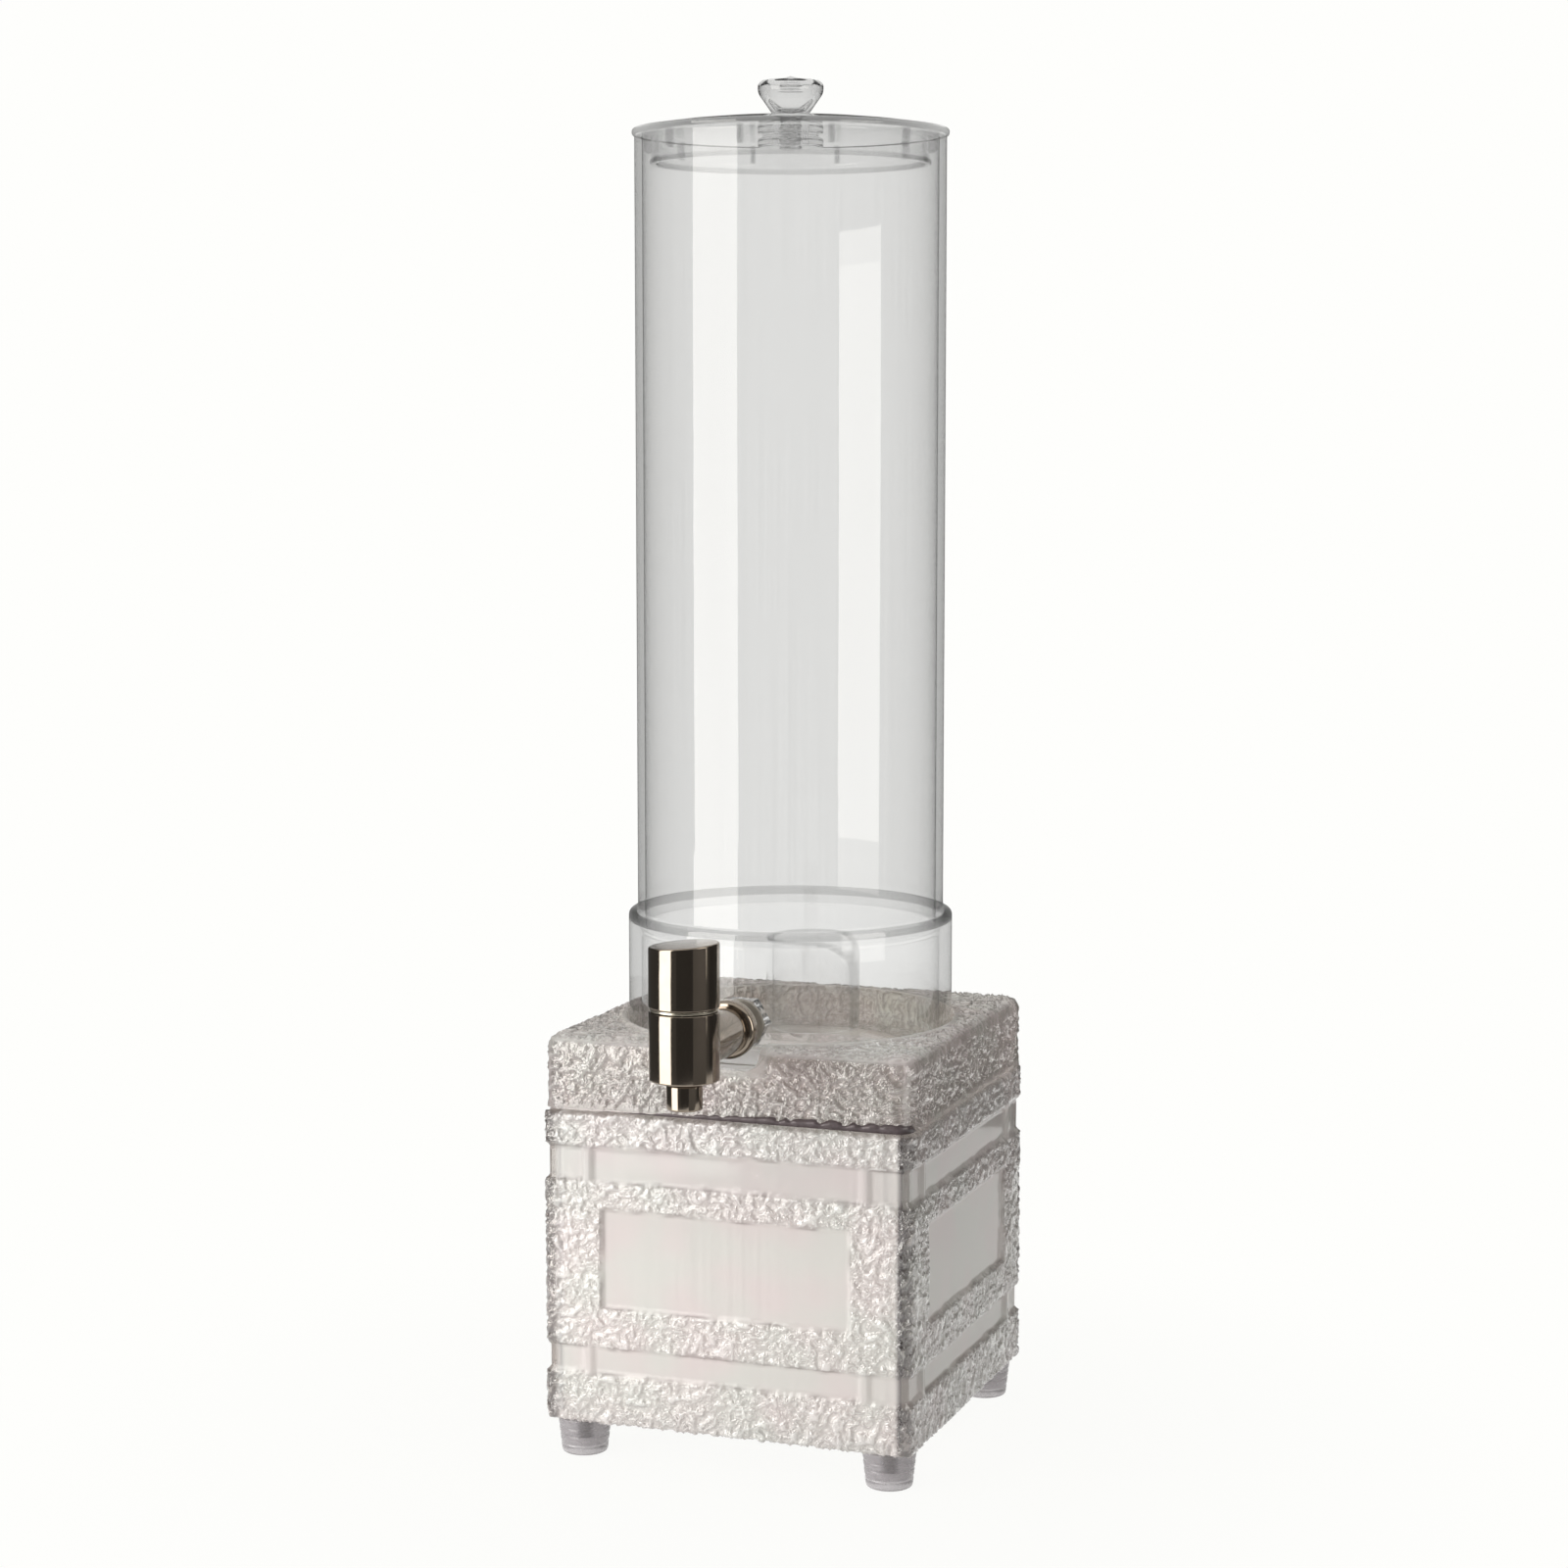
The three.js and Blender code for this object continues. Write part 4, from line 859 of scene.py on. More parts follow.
# %% Core seat
CORE_WALL = 3.5
CORE_LIP = 15.0
CORE_RIM = 1.4
CORE_SKIN_SHARE = 0.6
seat_low, seat_high = size("core_seat")
core_axis = (TOWER[0], (seat_low.y + seat_high.y) / 2)
core_radius = (seat_high.y - seat_low.y) / 2
core_inner = core_radius - CORE_WALL


def kept_core(drop):
    """A block that keeps what lies under the lip of the core seat, or under a line inside it."""
    right = core_axis[0] + core_radius - drop
    left = core_axis[0] - core_radius - 1
    top = seat_high.z - drop
    outline = [
        (left, seat_low.z - 1), (right, seat_low.z - 1),
        *arc(right - CORE_LIP, top - CORE_LIP, CORE_LIP, 0, 90), (left, top)]
    return block("kept_core", outline, core_axis[1] - core_radius - 1, core_axis[1] + core_radius + 1)


core = turned("core_seat_cup", ring(
    core_inner + SKIN, core_radius, seat_low.z, seat_high.z, 0.4), axis=core_axis)
core_skin = turned("core_seat_skin", ring(
    core_inner, core_inner + CORE_SKIN_SHARE * SKIN, seat_low.z, seat_high.z, 0), axis=core_axis)
core_rim = turned("core_seat_rim", ring(
    core_inner, core_radius, seat_low.z, seat_high.z, 0.4), axis=core_axis)
cut(core, kept_core(CORE_RIM), "INTERSECT")
cut(core_skin, kept_core(CORE_RIM), "INTERSECT")
cut(core_rim, kept_core(0), "INTERSECT")
cut(core_rim, kept_core(CORE_RIM - JOIN))
dress(core_skin, SKIN_CLEAR, "tank", "clear_acrylic")
dress(core_rim, RIM_CLEAR, "tank", "clear_acrylic")
dress(core, PALE_CLEAR, "tank", "clear_acrylic", "core_seat")

# %% [markdown]
# The lid is a shallow dome with a rounded rim. Under it a skirt reaches into the tube, with a bead at its
# foot. Lid and skirt are one turned profile. The bead is a piece of its own, denser than the rest, because
# it draws the grey ring near the top of the tube.

# %% Domed lid
LID_PLATE = 3.0
LID_RISE = 6.0
SKIRT_RADIUS = 67.0
SKIRT_WALL = 2.5
BEAD = 0.8
BEAD_HEIGHT = 1.8
DOME_STOPS = (0.0, 0.2, 0.4, 0.6, 0.8, 1.0)
lid_low, lid_high = size("lid")
LID_RADIUS = lid_high.x - TOWER[0]
lid_rim_z = lid_high.z - LID_PLATE - LID_RISE
STUD_RADIUS = 5.5
LID_HOLE = STUD_RADIUS + SEAT


def dome(start, end, drop):
    """Points of the dome's curve between two radii, some way below its top."""
    points = []
    for stop in DOME_STOPS:
        radius = start + (end - start) * stop
        share = radius / LID_RADIUS
        points.append((radius, lid_high.z - LID_RISE * share * share - drop, 0))
    return points


skirt_inner = SKIRT_RADIUS - SKIRT_WALL
bead_top = lid_low.z + BEAD_HEIGHT + BEAD
lid_plate = turned("domed_lid", [
    *dome(LID_HOLE, LID_RADIUS - LID_PLATE / 2, 0),
    (LID_RADIUS, lid_rim_z + LID_PLATE, 1.3), (LID_RADIUS, lid_rim_z, 1.3),
    (SKIRT_RADIUS, lid_rim_z, 0.8), (SKIRT_RADIUS, bead_top, 0), (skirt_inner, bead_top, 0),
    *dome(skirt_inner, LID_HOLE, LID_PLATE)], segments=FINE)
dress(lid_plate, LID_CLEAR, "lid", "clear_acrylic", "lid")
bead = turned("skirt_bead", [
    (skirt_inner, bead_top - JOIN, 0), (SKIRT_RADIUS, bead_top - JOIN, 0),
    (SKIRT_RADIUS + BEAD, lid_low.z + BEAD_HEIGHT, 0.3), (SKIRT_RADIUS + BEAD, lid_low.z, 0.6),
    (skirt_inner, lid_low.z, 0.6)], segments=FINE)
dress(bead, RIM_CLEAR, "lid", "clear_acrylic")

# %% [markdown]
# Ten ribs round the skirt centre the lid. A rib is modelled once, and a Geometry Nodes tree repeats it round
# the axis, because a count and an angle say it all. Some helpers serve this tree and the later ones: they
# set a modifier's inputs, start a tree, and end it in plain geometry with its finish.

# %% Helpers for Geometry Nodes


def set_inputs(modifier, **values):
    """Sets a Geometry Nodes modifier's inputs, found by name, through their identifiers."""
    for item in modifier.node_group.interface.items_tree:
        if item.in_out == "INPUT" and item.name in values:
            modifier[item.identifier] = values[item.name]


def tree_with(name, inputs):
    """A Geometry Nodes tree with a geometry socket each way and the given inputs."""
    tree = bpy.data.node_groups.new(name, "GeometryNodeTree")
    tree.interface.new_socket("Geometry", in_out="INPUT", socket_type="NodeSocketGeometry")
    tree.interface.new_socket("Geometry", in_out="OUTPUT", socket_type="NodeSocketGeometry")
    for label, kind in inputs.items():
        tree.interface.new_socket(label, in_out="INPUT", socket_type="NodeSocket" + kind)
    return tree, node(tree, "NodeGroupInput")


def end_tree(tree, given, geometry):
    """Ends a tree in plain geometry with its finish."""
    real = node(tree, "GeometryNodeRealizeInstances", {"Geometry": geometry})
    dressed = node(tree, "GeometryNodeSetMaterial", {
        "Geometry": real, "Material": given.outputs["Finish"]})
    node(tree, "NodeGroupOutput", {"Geometry": dressed})
    return tree


print("every tree ends in plain geometry with its finish")

# %% Ribs under the lid
RIB_COUNT = 10
RIB_WIDE = 2.2
RIB_TALL = 8.3
RIB_REACH = 70.5
RIB_SINK = 0.5
RIB_BEVEL = 0.25
CENTRE = (TOWER[0] * MM, TOWER[1] * MM, 0.0)


def ring_of_copies():
    """Repeats the incoming shape round the Z axis of its own origin."""
    tree, given = tree_with("ring_of_copies", {"Count": "Int", "Centre": "Vector", "Finish": "Material"})
    points = node(tree, "GeometryNodePoints", {
        "Count": given.outputs["Count"], "Position": given.outputs["Centre"]})
    index = node(tree, "GeometryNodeInputIndex")
    share = node(tree, "ShaderNodeMath", {0: index, 1: given.outputs["Count"]}, operation="DIVIDE")
    turn = node(tree, "ShaderNodeMath", {0: share, 1: math.tau}, operation="MULTIPLY")
    about = node(tree, "ShaderNodeCombineXYZ", {"Z": turn})
    copies = node(tree, "GeometryNodeInstanceOnPoints", {
        "Points": points, "Instance": given.outputs["Geometry"], "Rotation": about})
    return end_tree(tree, given, copies)


def rib_blade():
    """One rib at the front, with a lead-in at its lower end, placed from the lid's axis."""
    root = SKIRT_RADIUS - RIB_SINK
    top = lid_rim_z + RIB_SINK
    foot = lid_rim_z - RIB_TALL
    lead = (RIB_REACH - SKIRT_RADIUS) / 2
    outline = [
        (root, top), (RIB_REACH, top), (RIB_REACH, foot + lead), (RIB_REACH - lead, foot), (root, foot)]
    shape = drawn_out([(-RIB_WIDE / 2, -out, up) for out, up in outline], (RIB_WIDE, 0, 0))
    soften(shape, RIB_BEVEL)
    return show(shape, "lid_ribs")


ribs = rib_blade()
repeat = ribs.modifiers.new("ring", "NODES")
repeat.node_group = ring_of_copies()
set_inputs(repeat, Count=RIB_COUNT, Centre=CENTRE, Finish=RIB_CLEAR)
settle(ribs)
dress(ribs, RIB_CLEAR, "lid", "clear_acrylic")

# %% [markdown]
# The knob is a solid clear button with a flared neck and a bubble moulded inside, which shows as a paler
# bowl. Its stud goes down through the lid into a clear thumb nut with a groove round it. The thread is
# real: a Geometry Nodes tree pulls the stud's surface in along a helix, by the angle and height of each
# point, so pitch and depth are its only sizes.

# %% Thread of the knob's stud
KNOB_RADIUS = 15.75
KNOB_NECK = 8.0
KNOB_CONE = 11.0
KNOB_GIRDLE = 2.6
KNOB_SHOULDER = 3.0
KNOB_CROWN = 1.0
BUTTON_RADIUS = 5.0
PITCH = 2.0
THREAD_DEPTH = 0.9
knob_low, knob_high = size("lid_knob")
knob_foot = lid_high.z + SEAT
girdle_z = knob_foot + KNOB_CONE
shoulder_z = girdle_z + KNOB_GIRDLE + KNOB_SHOULDER
crown_z = shoulder_z + KNOB_CROWN


def helical_thread():
    """Pulls a turned surface in along a helix between two heights."""
    tree, given = tree_with("helical_thread", {
        "Centre": "Vector", "Pitch": "Float", "Depth": "Float", "Low": "Float", "High": "Float",
        "Reach": "Float", "Finish": "Material"})
    where = node(tree, "GeometryNodeInputPosition")
    out = node(tree, "ShaderNodeVectorMath", {0: where, 1: given.outputs["Centre"]}, operation="SUBTRACT")
    parts = node(tree, "ShaderNodeSeparateXYZ", {0: out})
    flat = node(tree, "ShaderNodeVectorMath", {0: out, 1: (1.0, 1.0, 0.0)}, operation="MULTIPLY")
    away = node(tree, "ShaderNodeVectorMath", {0: flat}, operation="LENGTH")
    outward = node(tree, "ShaderNodeVectorMath", {0: flat}, operation="NORMALIZE")
    angle = node(tree, "ShaderNodeMath", {0: parts.outputs["Y"], 1: parts.outputs["X"]}, operation="ARCTAN2")
    turns = node(tree, "ShaderNodeMath", {0: angle, 1: math.tau}, operation="DIVIDE")
    climb = node(tree, "ShaderNodeMath", {
        0: parts.outputs["Z"], 1: given.outputs["Pitch"]}, operation="DIVIDE")
    phase = node(tree, "ShaderNodeMath", {0: climb, 1: turns}, operation="SUBTRACT")
    wave = node(tree, "ShaderNodeMath", {0: phase, 1: 0.5}, operation="PINGPONG")
    share = node(tree, "ShaderNodeMath", {0: wave, 1: 2.0}, operation="MULTIPLY")
    sunk = node(tree, "ShaderNodeMath", {0: share, 1: given.outputs["Depth"]}, operation="MULTIPLY")
    back = node(tree, "ShaderNodeMath", {0: sunk, 1: -1.0}, operation="MULTIPLY")
    step = node(tree, "ShaderNodeVectorMath", {0: outward, "Scale": back}, operation="SCALE")
    above = node(tree, "ShaderNodeMath", {
        0: parts.outputs["Z"], 1: given.outputs["Low"]}, operation="GREATER_THAN")
    below = node(tree, "ShaderNodeMath", {
        0: parts.outputs["Z"], 1: given.outputs["High"]}, operation="LESS_THAN")
    near = node(tree, "ShaderNodeMath", {
        0: away.outputs["Value"], 1: given.outputs["Reach"]}, operation="GREATER_THAN")
    between = node(tree, "ShaderNodeMath", {0: above, 1: below}, operation="MULTIPLY")
    chosen = node(tree, "ShaderNodeMath", {0: between, 1: near}, operation="MULTIPLY")
    moved = node(tree, "GeometryNodeSetPosition", {
        "Geometry": given.outputs["Geometry"], "Selection": chosen, "Offset": step})
    return end_tree(tree, given, moved)


THREAD_TREE = helical_thread()
print("nodes of the thread:", len(THREAD_TREE.nodes))

# %% Knob
knob = turned("flared_knob", [
    (0, knob_low.z, 0), (STUD_RADIUS, knob_low.z, 1), (STUD_RADIUS, knob_foot, 0),
    (KNOB_NECK, knob_foot, 0.6), (KNOB_RADIUS, girdle_z, 6), (KNOB_RADIUS, shoulder_z, KNOB_SHOULDER),
    (BUTTON_RADIUS, crown_z, 1.5), (0, knob_high.z, 0)], closed=False, segments=96, row=0.3,
    bubble=[
        (0, knob_foot + 2.6, 0), (5.8, knob_foot + 3.4, 3), (10.6, knob_foot + 9.0, 5),
        (11.2, shoulder_z - 1.6, 1.2), (0, crown_z - 1.2, 0)])
thread = knob.modifiers.new("thread", "NODES")
thread.node_group = THREAD_TREE
set_inputs(
    thread, Centre=CENTRE, Pitch=PITCH * MM, Depth=THREAD_DEPTH * MM,
    Low=(knob_low.z + 1.2) * MM, High=(knob_foot - 1) * MM, Reach=(STUD_RADIUS - 0.2) * MM, Finish=KNOB_CLEAR)
settle(knob)
knob.data.set_sharp_from_angle(angle=SHARP)
dress(knob, KNOB_CLEAR, "lid", "clear_acrylic", "lid_knob")

# %% Thumb nut
NUT_GROOVE = 2.2
nut_low, nut_high = size("lid_nut")
NUT_RADIUS = nut_high.x - TOWER[0]
nut_mid = (nut_low.z + nut_high.z) / 2
nut_core = NUT_RADIUS - NUT_GROOVE
nut = turned("clear_thumb_nut", [
    (LID_HOLE, nut_low.z, 0.4), (NUT_RADIUS, nut_low.z, 1.2), (NUT_RADIUS, nut_mid - NUT_GROOVE / 2, 0.9),
    (nut_core, nut_mid - NUT_GROOVE / 2, 0.5), (nut_core, nut_mid + NUT_GROOVE / 2, 0.5),
    (NUT_RADIUS, nut_mid + NUT_GROOVE / 2, 0.9), (NUT_RADIUS, nut_high.z, 1.2), (LID_HOLE, nut_high.z, 0.4)],
    segments=96)
dress(nut, SOLID_CLEAR, "lid", "clear_acrylic", "lid_nut")

# %% [markdown]
# The housing of the base is a square shell. Three crinkled bands stand proud of two smooth strips, and the
# wide band has a smooth window on each side. A grid of points round the outline, row over row, carries the
# relief: each point goes in by how far it lies inside a strip or a window, with soft edges that wander a
# little, as in the real moulding. The grid is about a millimetre fine, so that the crinkle can be cut into
# it afterwards.

# %% Rings of points round a rounded square
SIDE_STEPS = 160
CORNER_STEPS = 7
COLUMNS = 4 * (SIDE_STEPS + CORNER_STEPS)


def square_ring(half, corner):
    """Points round a rounded square: place, outward direction and distance from the side's middle."""
    points = []
    straight = half - corner
    for side in range(4):
        turn = side * math.pi / 2
        local = []
        for step in range(SIDE_STEPS):
            along = straight * (2 * step / SIDE_STEPS - 1)
            local.append((along, -half, 0.0, -1.0, along))
        for step in range(CORNER_STEPS):
            angle = math.pi / 2 * (step / CORNER_STEPS - 1)
            out_x = math.cos(angle)
            out_y = math.sin(angle)
            local.append((straight + corner * out_x, -straight + corner * out_y, out_x, out_y, half))
        for x, y, out_x, out_y, along in local:
            place = Vector((x, y, 0))
            out = Vector((out_x, out_y, 0))
            spin = (math.cos(turn), math.sin(turn))
            place = Vector((place.x * spin[0] - place.y * spin[1], place.x * spin[1] + place.y * spin[0], 0))
            out = Vector((out.x * spin[0] - out.y * spin[1], out.x * spin[1] + out.y * spin[0], 0))
            points.append((place + Vector((TOWER[0], TOWER[1], 0)), out, along))
    return points


def at_height(half, corner, height):
    """The points of a rounded square at one height."""
    return [place + Vector((0, 0, height)) for place, _, _ in square_ring(half, corner)]


def shell(name, rings):
    """Joins rings of equal count, one after the other and the last to the first, into a closed piece."""
    mesh = bpy.data.meshes.new(name)
    points = [point * MM for points_round in rings for point in points_round]
    faces = []
    for row in range(len(rings)):
        first = row * COLUMNS
        second = (row + 1) % len(rings) * COLUMNS
        for column in range(COLUMNS):
            after = (column + 1) % COLUMNS
            faces.append((first + column, first + after, second + after, second + column))
    mesh.from_pydata(points, [], faces)
    mesh.shade_smooth()
    made = bpy.data.objects.new(name, mesh)
    scene.collection.objects.link(made)
    return made


print("columns round the base:", COLUMNS)

# %% [markdown]
# Each point of the grid also gets three values for the finish: ice, how crinkled it is, how close the white
# sheet lies behind it, with less on the left and right faces as painted shade, and line, painted shade at the
# foot of a step. The top edge sags here and there, as a thin moulded rim does.

# %% Relief of the housing
RELIEF = 2.5
STRIP_RIB_RELIEF = 1.5
HOUSING_CORNER = 5.0
HOUSING_EDGE = 1.5
SHELL_INNER = 86.8
INNER_CORNER = 2.5
STRIPS = ((43.0, 56.0), (137.5, 154.0))
WINDOW = (75.5, 123.5)
WINDOW_HALF = 62.5
RIB_AT = 70.0
RIB_HALF = 2.5
RIB_SOFT = 1.6
EDGE_SOFT = 2.4
EDGE_WANDER = 0.9
WANDER_SIZE = 9.0
ROW = 1.1
SMOOTH_ROW = 2.4
CLEAR_CORNER = 4.0
SIDE_BACKING_WITH_PAINTED_SHADE = 0.78
RIM_SAG = 1.4
RIM_FADE = 5.0
SAG_SIZE = 6.0
LINE_PATCH = 11.0
LINE_SOFT = 0.6
LINE_DARK = 0.75


def soft(distance, width=EDGE_SOFT):
    """0 well outside an edge, 1 well inside, with a smooth change over the width."""
    share = min(1.0, max(0.0, distance / width + 0.5))
    return share * share * (3 - 2 * share)


def sunk_share(point, along, height):
    """How far a point of the housing lies in a strip or window, and how far on a strip's rib."""
    spot = Vector((point.x, point.y, height)) / WANDER_SIZE
    wander = EDGE_WANDER * noise.noise(spot)
    level = height + wander
    strip = max(soft(level - low) * soft(high - level) for low, high in STRIPS)
    window = soft(level - WINDOW[0]) * soft(WINDOW[1] - level) * soft(WINDOW_HALF - abs(along) + 0.5 * wander)
    rib = strip * soft(RIB_HALF - abs(abs(along) - RIB_AT), RIB_SOFT)
    return max(strip, window), rib


def housing_heights():
    """Row heights: close together on the bands, wider inside the strips."""
    heights = [housing_low.z]
    while heights[-1] < housing_high.z - ROW:
        inside = any(low + EDGE_SOFT < heights[-1] < high - EDGE_SOFT - SMOOTH_ROW for low, high in STRIPS)
        heights.append(heights[-1] + (SMOOTH_ROW if inside else ROW))
    heights.append(housing_high.z)
    return heights


def housing_rings():
    """The housing's outer rows from the bottom up, then its inside, with three values for each point."""
    outline = square_ring(BASE_HALF, HOUSING_CORNER)
    rings = []
    ice = []
    backing_and_painted_light = []
    line = []
    for height in housing_heights():
        end = min(HOUSING_EDGE, height - housing_low.z, housing_high.z - height)
        edge = HOUSING_EDGE - math.sqrt(HOUSING_EDGE ** 2 - (HOUSING_EDGE - end) ** 2)
        near_rim = soft(height - housing_high.z + RIM_FADE, RIM_FADE)
        points = []
        for place, out, along in outline:
            sunk, rib = sunk_share(place, along, height)
            depth = max(edge, RELIEF * sunk - STRIP_RIB_RELIEF * rib)
            sag = RIM_SAG * soft(noise.noise(place / SAG_SIZE), 1) * near_rim
            points.append(place - out * depth + Vector((0, 0, height - sag)))
            ice.append((1 - sunk) ** 2)
            # Less backing on the left and right faces is painted shade for the right face, which stands out
            # of the light; the left face gets the same.
            facing = 1 - (1 - SIDE_BACKING_WITH_PAINTED_SHADE) * out.x ** 2
            backing_and_painted_light.append(facing * soft(SHELL_INNER - abs(along), CLEAR_CORNER))
            # Painted shade at the foot of each step, in patches.
            patch = soft(noise.noise(Vector((place.x, place.y, height)) / LINE_PATCH), LINE_SOFT)
            line.append(LINE_DARK * 4 * sunk * (1 - sunk) * (1 - rib) * patch)
        rings.append(points)
    rings.append(at_height(SHELL_INNER, INNER_CORNER, housing_high.z))
    rings.append(at_height(SHELL_INNER, INNER_CORNER, housing_low.z))
    ice += [0.0] * (2 * COLUMNS)
    backing_and_painted_light += [1.0] * (2 * COLUMNS)
    line += [0.0] * (2 * COLUMNS)
    return rings, ice, backing_and_painted_light, line


rings, ice, backing_and_painted_light, line = housing_rings()
housing = shell("ice_housing", rings)
note(housing, "ice", ice)
note(housing, "backing_and_painted_light", backing_and_painted_light)
note(housing, "line", line)
print("rows of the housing:", len(rings), "points:", len(ice))

# %% [markdown]
# The crinkle is a rule, so it is a Geometry Nodes tree. A first noise bends the space, so that the flakes
# swirl. A second noise, folded at its middle, gives thin ridges round flat flakes, and a third at half the
# size adds lower ridges across them. The points go in along the surface, never out, by the depth times the
# ice attribute. Noise needs no seed here: it is fixed by position.

# %% Crinkle
FLAKE = 6.0
SWIRL = 1.4
SWIRL_PUSH = 4.0
CRINKLE_DEPTH = 1.4
RIDGE_SHARE = 0.31
BEND_SCALE = 0.42
RIDGES = ((1.0, 0.0), (2.0, 0.45))


def ice_crinkle():
    """Presses ridged flakes into a surface where its ice attribute asks for them."""
    tree, given = tree_with("ice_crinkle", {
        "Depth": "Float", "Flake": "Float", "Swirl": "Float", "Finish": "Material"})
    where = node(tree, "GeometryNodeInputPosition")
    inverse = node(tree, "ShaderNodeMath", {0: 1.0, 1: given.outputs["Flake"]}, operation="DIVIDE")
    spot = node(tree, "ShaderNodeVectorMath", {0: where, "Scale": inverse}, operation="SCALE")
    bend = node(tree, "ShaderNodeTexNoise", {"Vector": spot, "Scale": BEND_SCALE, "Detail": 0.0})
    centred = node(tree, "ShaderNodeVectorMath", {
        0: bend.outputs["Color"], 1: (0.5, 0.5, 0.5)}, operation="SUBTRACT")
    swirl = node(tree, "ShaderNodeMath", {0: given.outputs["Swirl"], 1: SWIRL_PUSH}, operation="MULTIPLY")
    push = node(tree, "ShaderNodeVectorMath", {0: centred, "Scale": swirl}, operation="SCALE")
    bent = node(tree, "ShaderNodeVectorMath", {0: spot, 1: push})
    valleys = []
    for scale, lowest in RIDGES:
        flakes = node(tree, "ShaderNodeTexNoise", {"Vector": bent, "Scale": scale, "Detail": 0.0})
        twice = node(tree, "ShaderNodeMath", {0: flakes, 1: 2.0, 2: -1.0}, operation="MULTIPLY_ADD")
        folded = node(tree, "ShaderNodeMath", {0: twice}, operation="ABSOLUTE")
        valleys.append(node(tree, "ShaderNodeMapRange", {
            "Value": folded, "From Max": RIDGE_SHARE, "To Min": lowest},
            interpolation_type="SMOOTHSTEP"))
    deep = node(tree, "ShaderNodeMath", dict(enumerate(valleys)), operation="MINIMUM")
    iced = node(tree, "GeometryNodeInputNamedAttribute", {"Name": "ice"}, data_type="FLOAT")
    amount = node(tree, "ShaderNodeMath", {0: deep, 1: iced}, operation="MULTIPLY")
    depth = node(tree, "ShaderNodeMath", {0: amount, 1: given.outputs["Depth"]}, operation="MULTIPLY")
    inward = node(tree, "ShaderNodeMath", {0: depth, 1: -1.0}, operation="MULTIPLY")
    normal = node(tree, "GeometryNodeInputNormal")
    step = node(tree, "ShaderNodeVectorMath", {0: normal, "Scale": inward}, operation="SCALE")
    noted = node(tree, "GeometryNodeStoreNamedAttribute", {
        "Geometry": given.outputs["Geometry"], "Name": "crease", "Value": amount},
        data_type="FLOAT", domain="POINT")
    moved = node(tree, "GeometryNodeSetPosition", {"Geometry": noted, "Offset": step})
    return end_tree(tree, given, moved)


CRINKLE_TREE = ice_crinkle()


def crinkle(made, depth, finish):
    """Presses the ice pattern into a piece."""
    press = made.modifiers.new("crinkle", "NODES")
    press.node_group = CRINKLE_TREE
    set_inputs(press, Depth=depth * MM, Flake=FLAKE * MM, Swirl=SWIRL, Finish=finish)
    settle(made)


crinkle(housing, CRINKLE_DEPTH, ICE)
dress(housing, ICE, "base", "ice_acrylic", "base_housing")

# %% [markdown]
# The white sheet is four panels that do not quite meet. Through the clear corners of the housing the eye
# looks between them into the dark base, which draws a dark upright line at each corner. A slim dark post
# stands in each gap as painted shade: a dark mottled piece put where there is only the shade inside the base.

# %% Dark posts of painted shade at the corners of the sheet
POST = 2.6
POST_OUT = 0.15
POST_BEVEL = 0.3
MOTTLE = 3.0 * MM
# The dark mottled finish of the posts and of the seam ring is painted shade.
SHADE = cloudy("seam_shade", "#6E6264", "#332A2B", MOTTLE, 0.2, 0.4, 0.0)
sheet_low, sheet_high = size("base_liner")
post_middle = (sheet_low.z + sheet_high.z) / 2
post_size = Vector((POST, POST, sheet_high.z - sheet_low.z))
reach = sheet_high.x - TOWER[0] + POST_OUT - POST / 2
posts = bmesh.new()
for side_x in (-1, 1):
    for side_y in (-1, 1):
        middle = Vector((TOWER[0] + side_x * reach, TOWER[1] + side_y * reach, post_middle))
        grown = bmesh.ops.create_cube(posts, size=1)
        bmesh.ops.scale(posts, verts=grown["verts"], vec=post_size * MM)
        bmesh.ops.translate(posts, verts=grown["verts"], vec=middle * MM)
soften(posts, POST_BEVEL)
dress(show(posts, "painted_shade_corner_posts"), SHADE, "base", "ice_acrylic")

# %% [markdown]
# The cap is a square moulding with soft edges, a round well for the tank, a ledge that carries it and a
# notch at the front for the tap. Its section changes from square outside to round inside, so it is built as
# rings too: square rings up the sides and over the edge, then rings that blend to the circle of the well,
# down the well, under the ledge and back along the hollow underside.

# %% Sizes of the cap
CAP_CORNER = 10.0
CAP_EDGE = 7.5
CAP_WALL = 7.0
DECK = 5.0
SEAM_LIFT = 1.7
LIP_WALL = 2.4
LIP_FLANGE = 4.0
WELL_WALL = 3.0
WELL_DEPTH = 18.0
LEDGE_WIDE = 18.0
LEDGE = 4.0
TANK_PLAY = 0.8
WELL_EDGE = 1.2
DECK_ROWS = 34
EDGE_ROWS = 8
WELL_ROWS = 14
LEDGE_ROWS = 12
SEAM_CLOSED = 0.3
SEAM_WIDEST = 4.4
SEAM_BUMP = 4.5
SEAM_BITE = 0.35
SEAM_WANDER = 0.5
SEAM_TAPER = 1.6
NOTCH_HALF = 18.0
NOTCH_DEPTH = 11.0
NOTCH_SILL = 3.0
cap_low, cap_high = size("base_cap")
WELL_RADIUS = COLLAR_RADIUS + TANK_PLAY
cap_z = cap_low.z + SEAM_LIFT
ledge_z = cap_high.z - WELL_DEPTH
cap_guide = square_ring(BASE_HALF, CAP_CORNER)
print("radius of the well:", round(WELL_RADIUS, 1), "mm")

# %% Rings of the cap


def circle_ring(radius, height):
    """Points on a circle, each in the direction of its point on the square."""
    points = []
    for place, _, _ in cap_guide:
        out = Vector((place.x - TOWER[0], place.y - TOWER[1], 0)).normalized()
        points.append(Vector((TOWER[0], TOWER[1], height)) + out * radius)
    return points


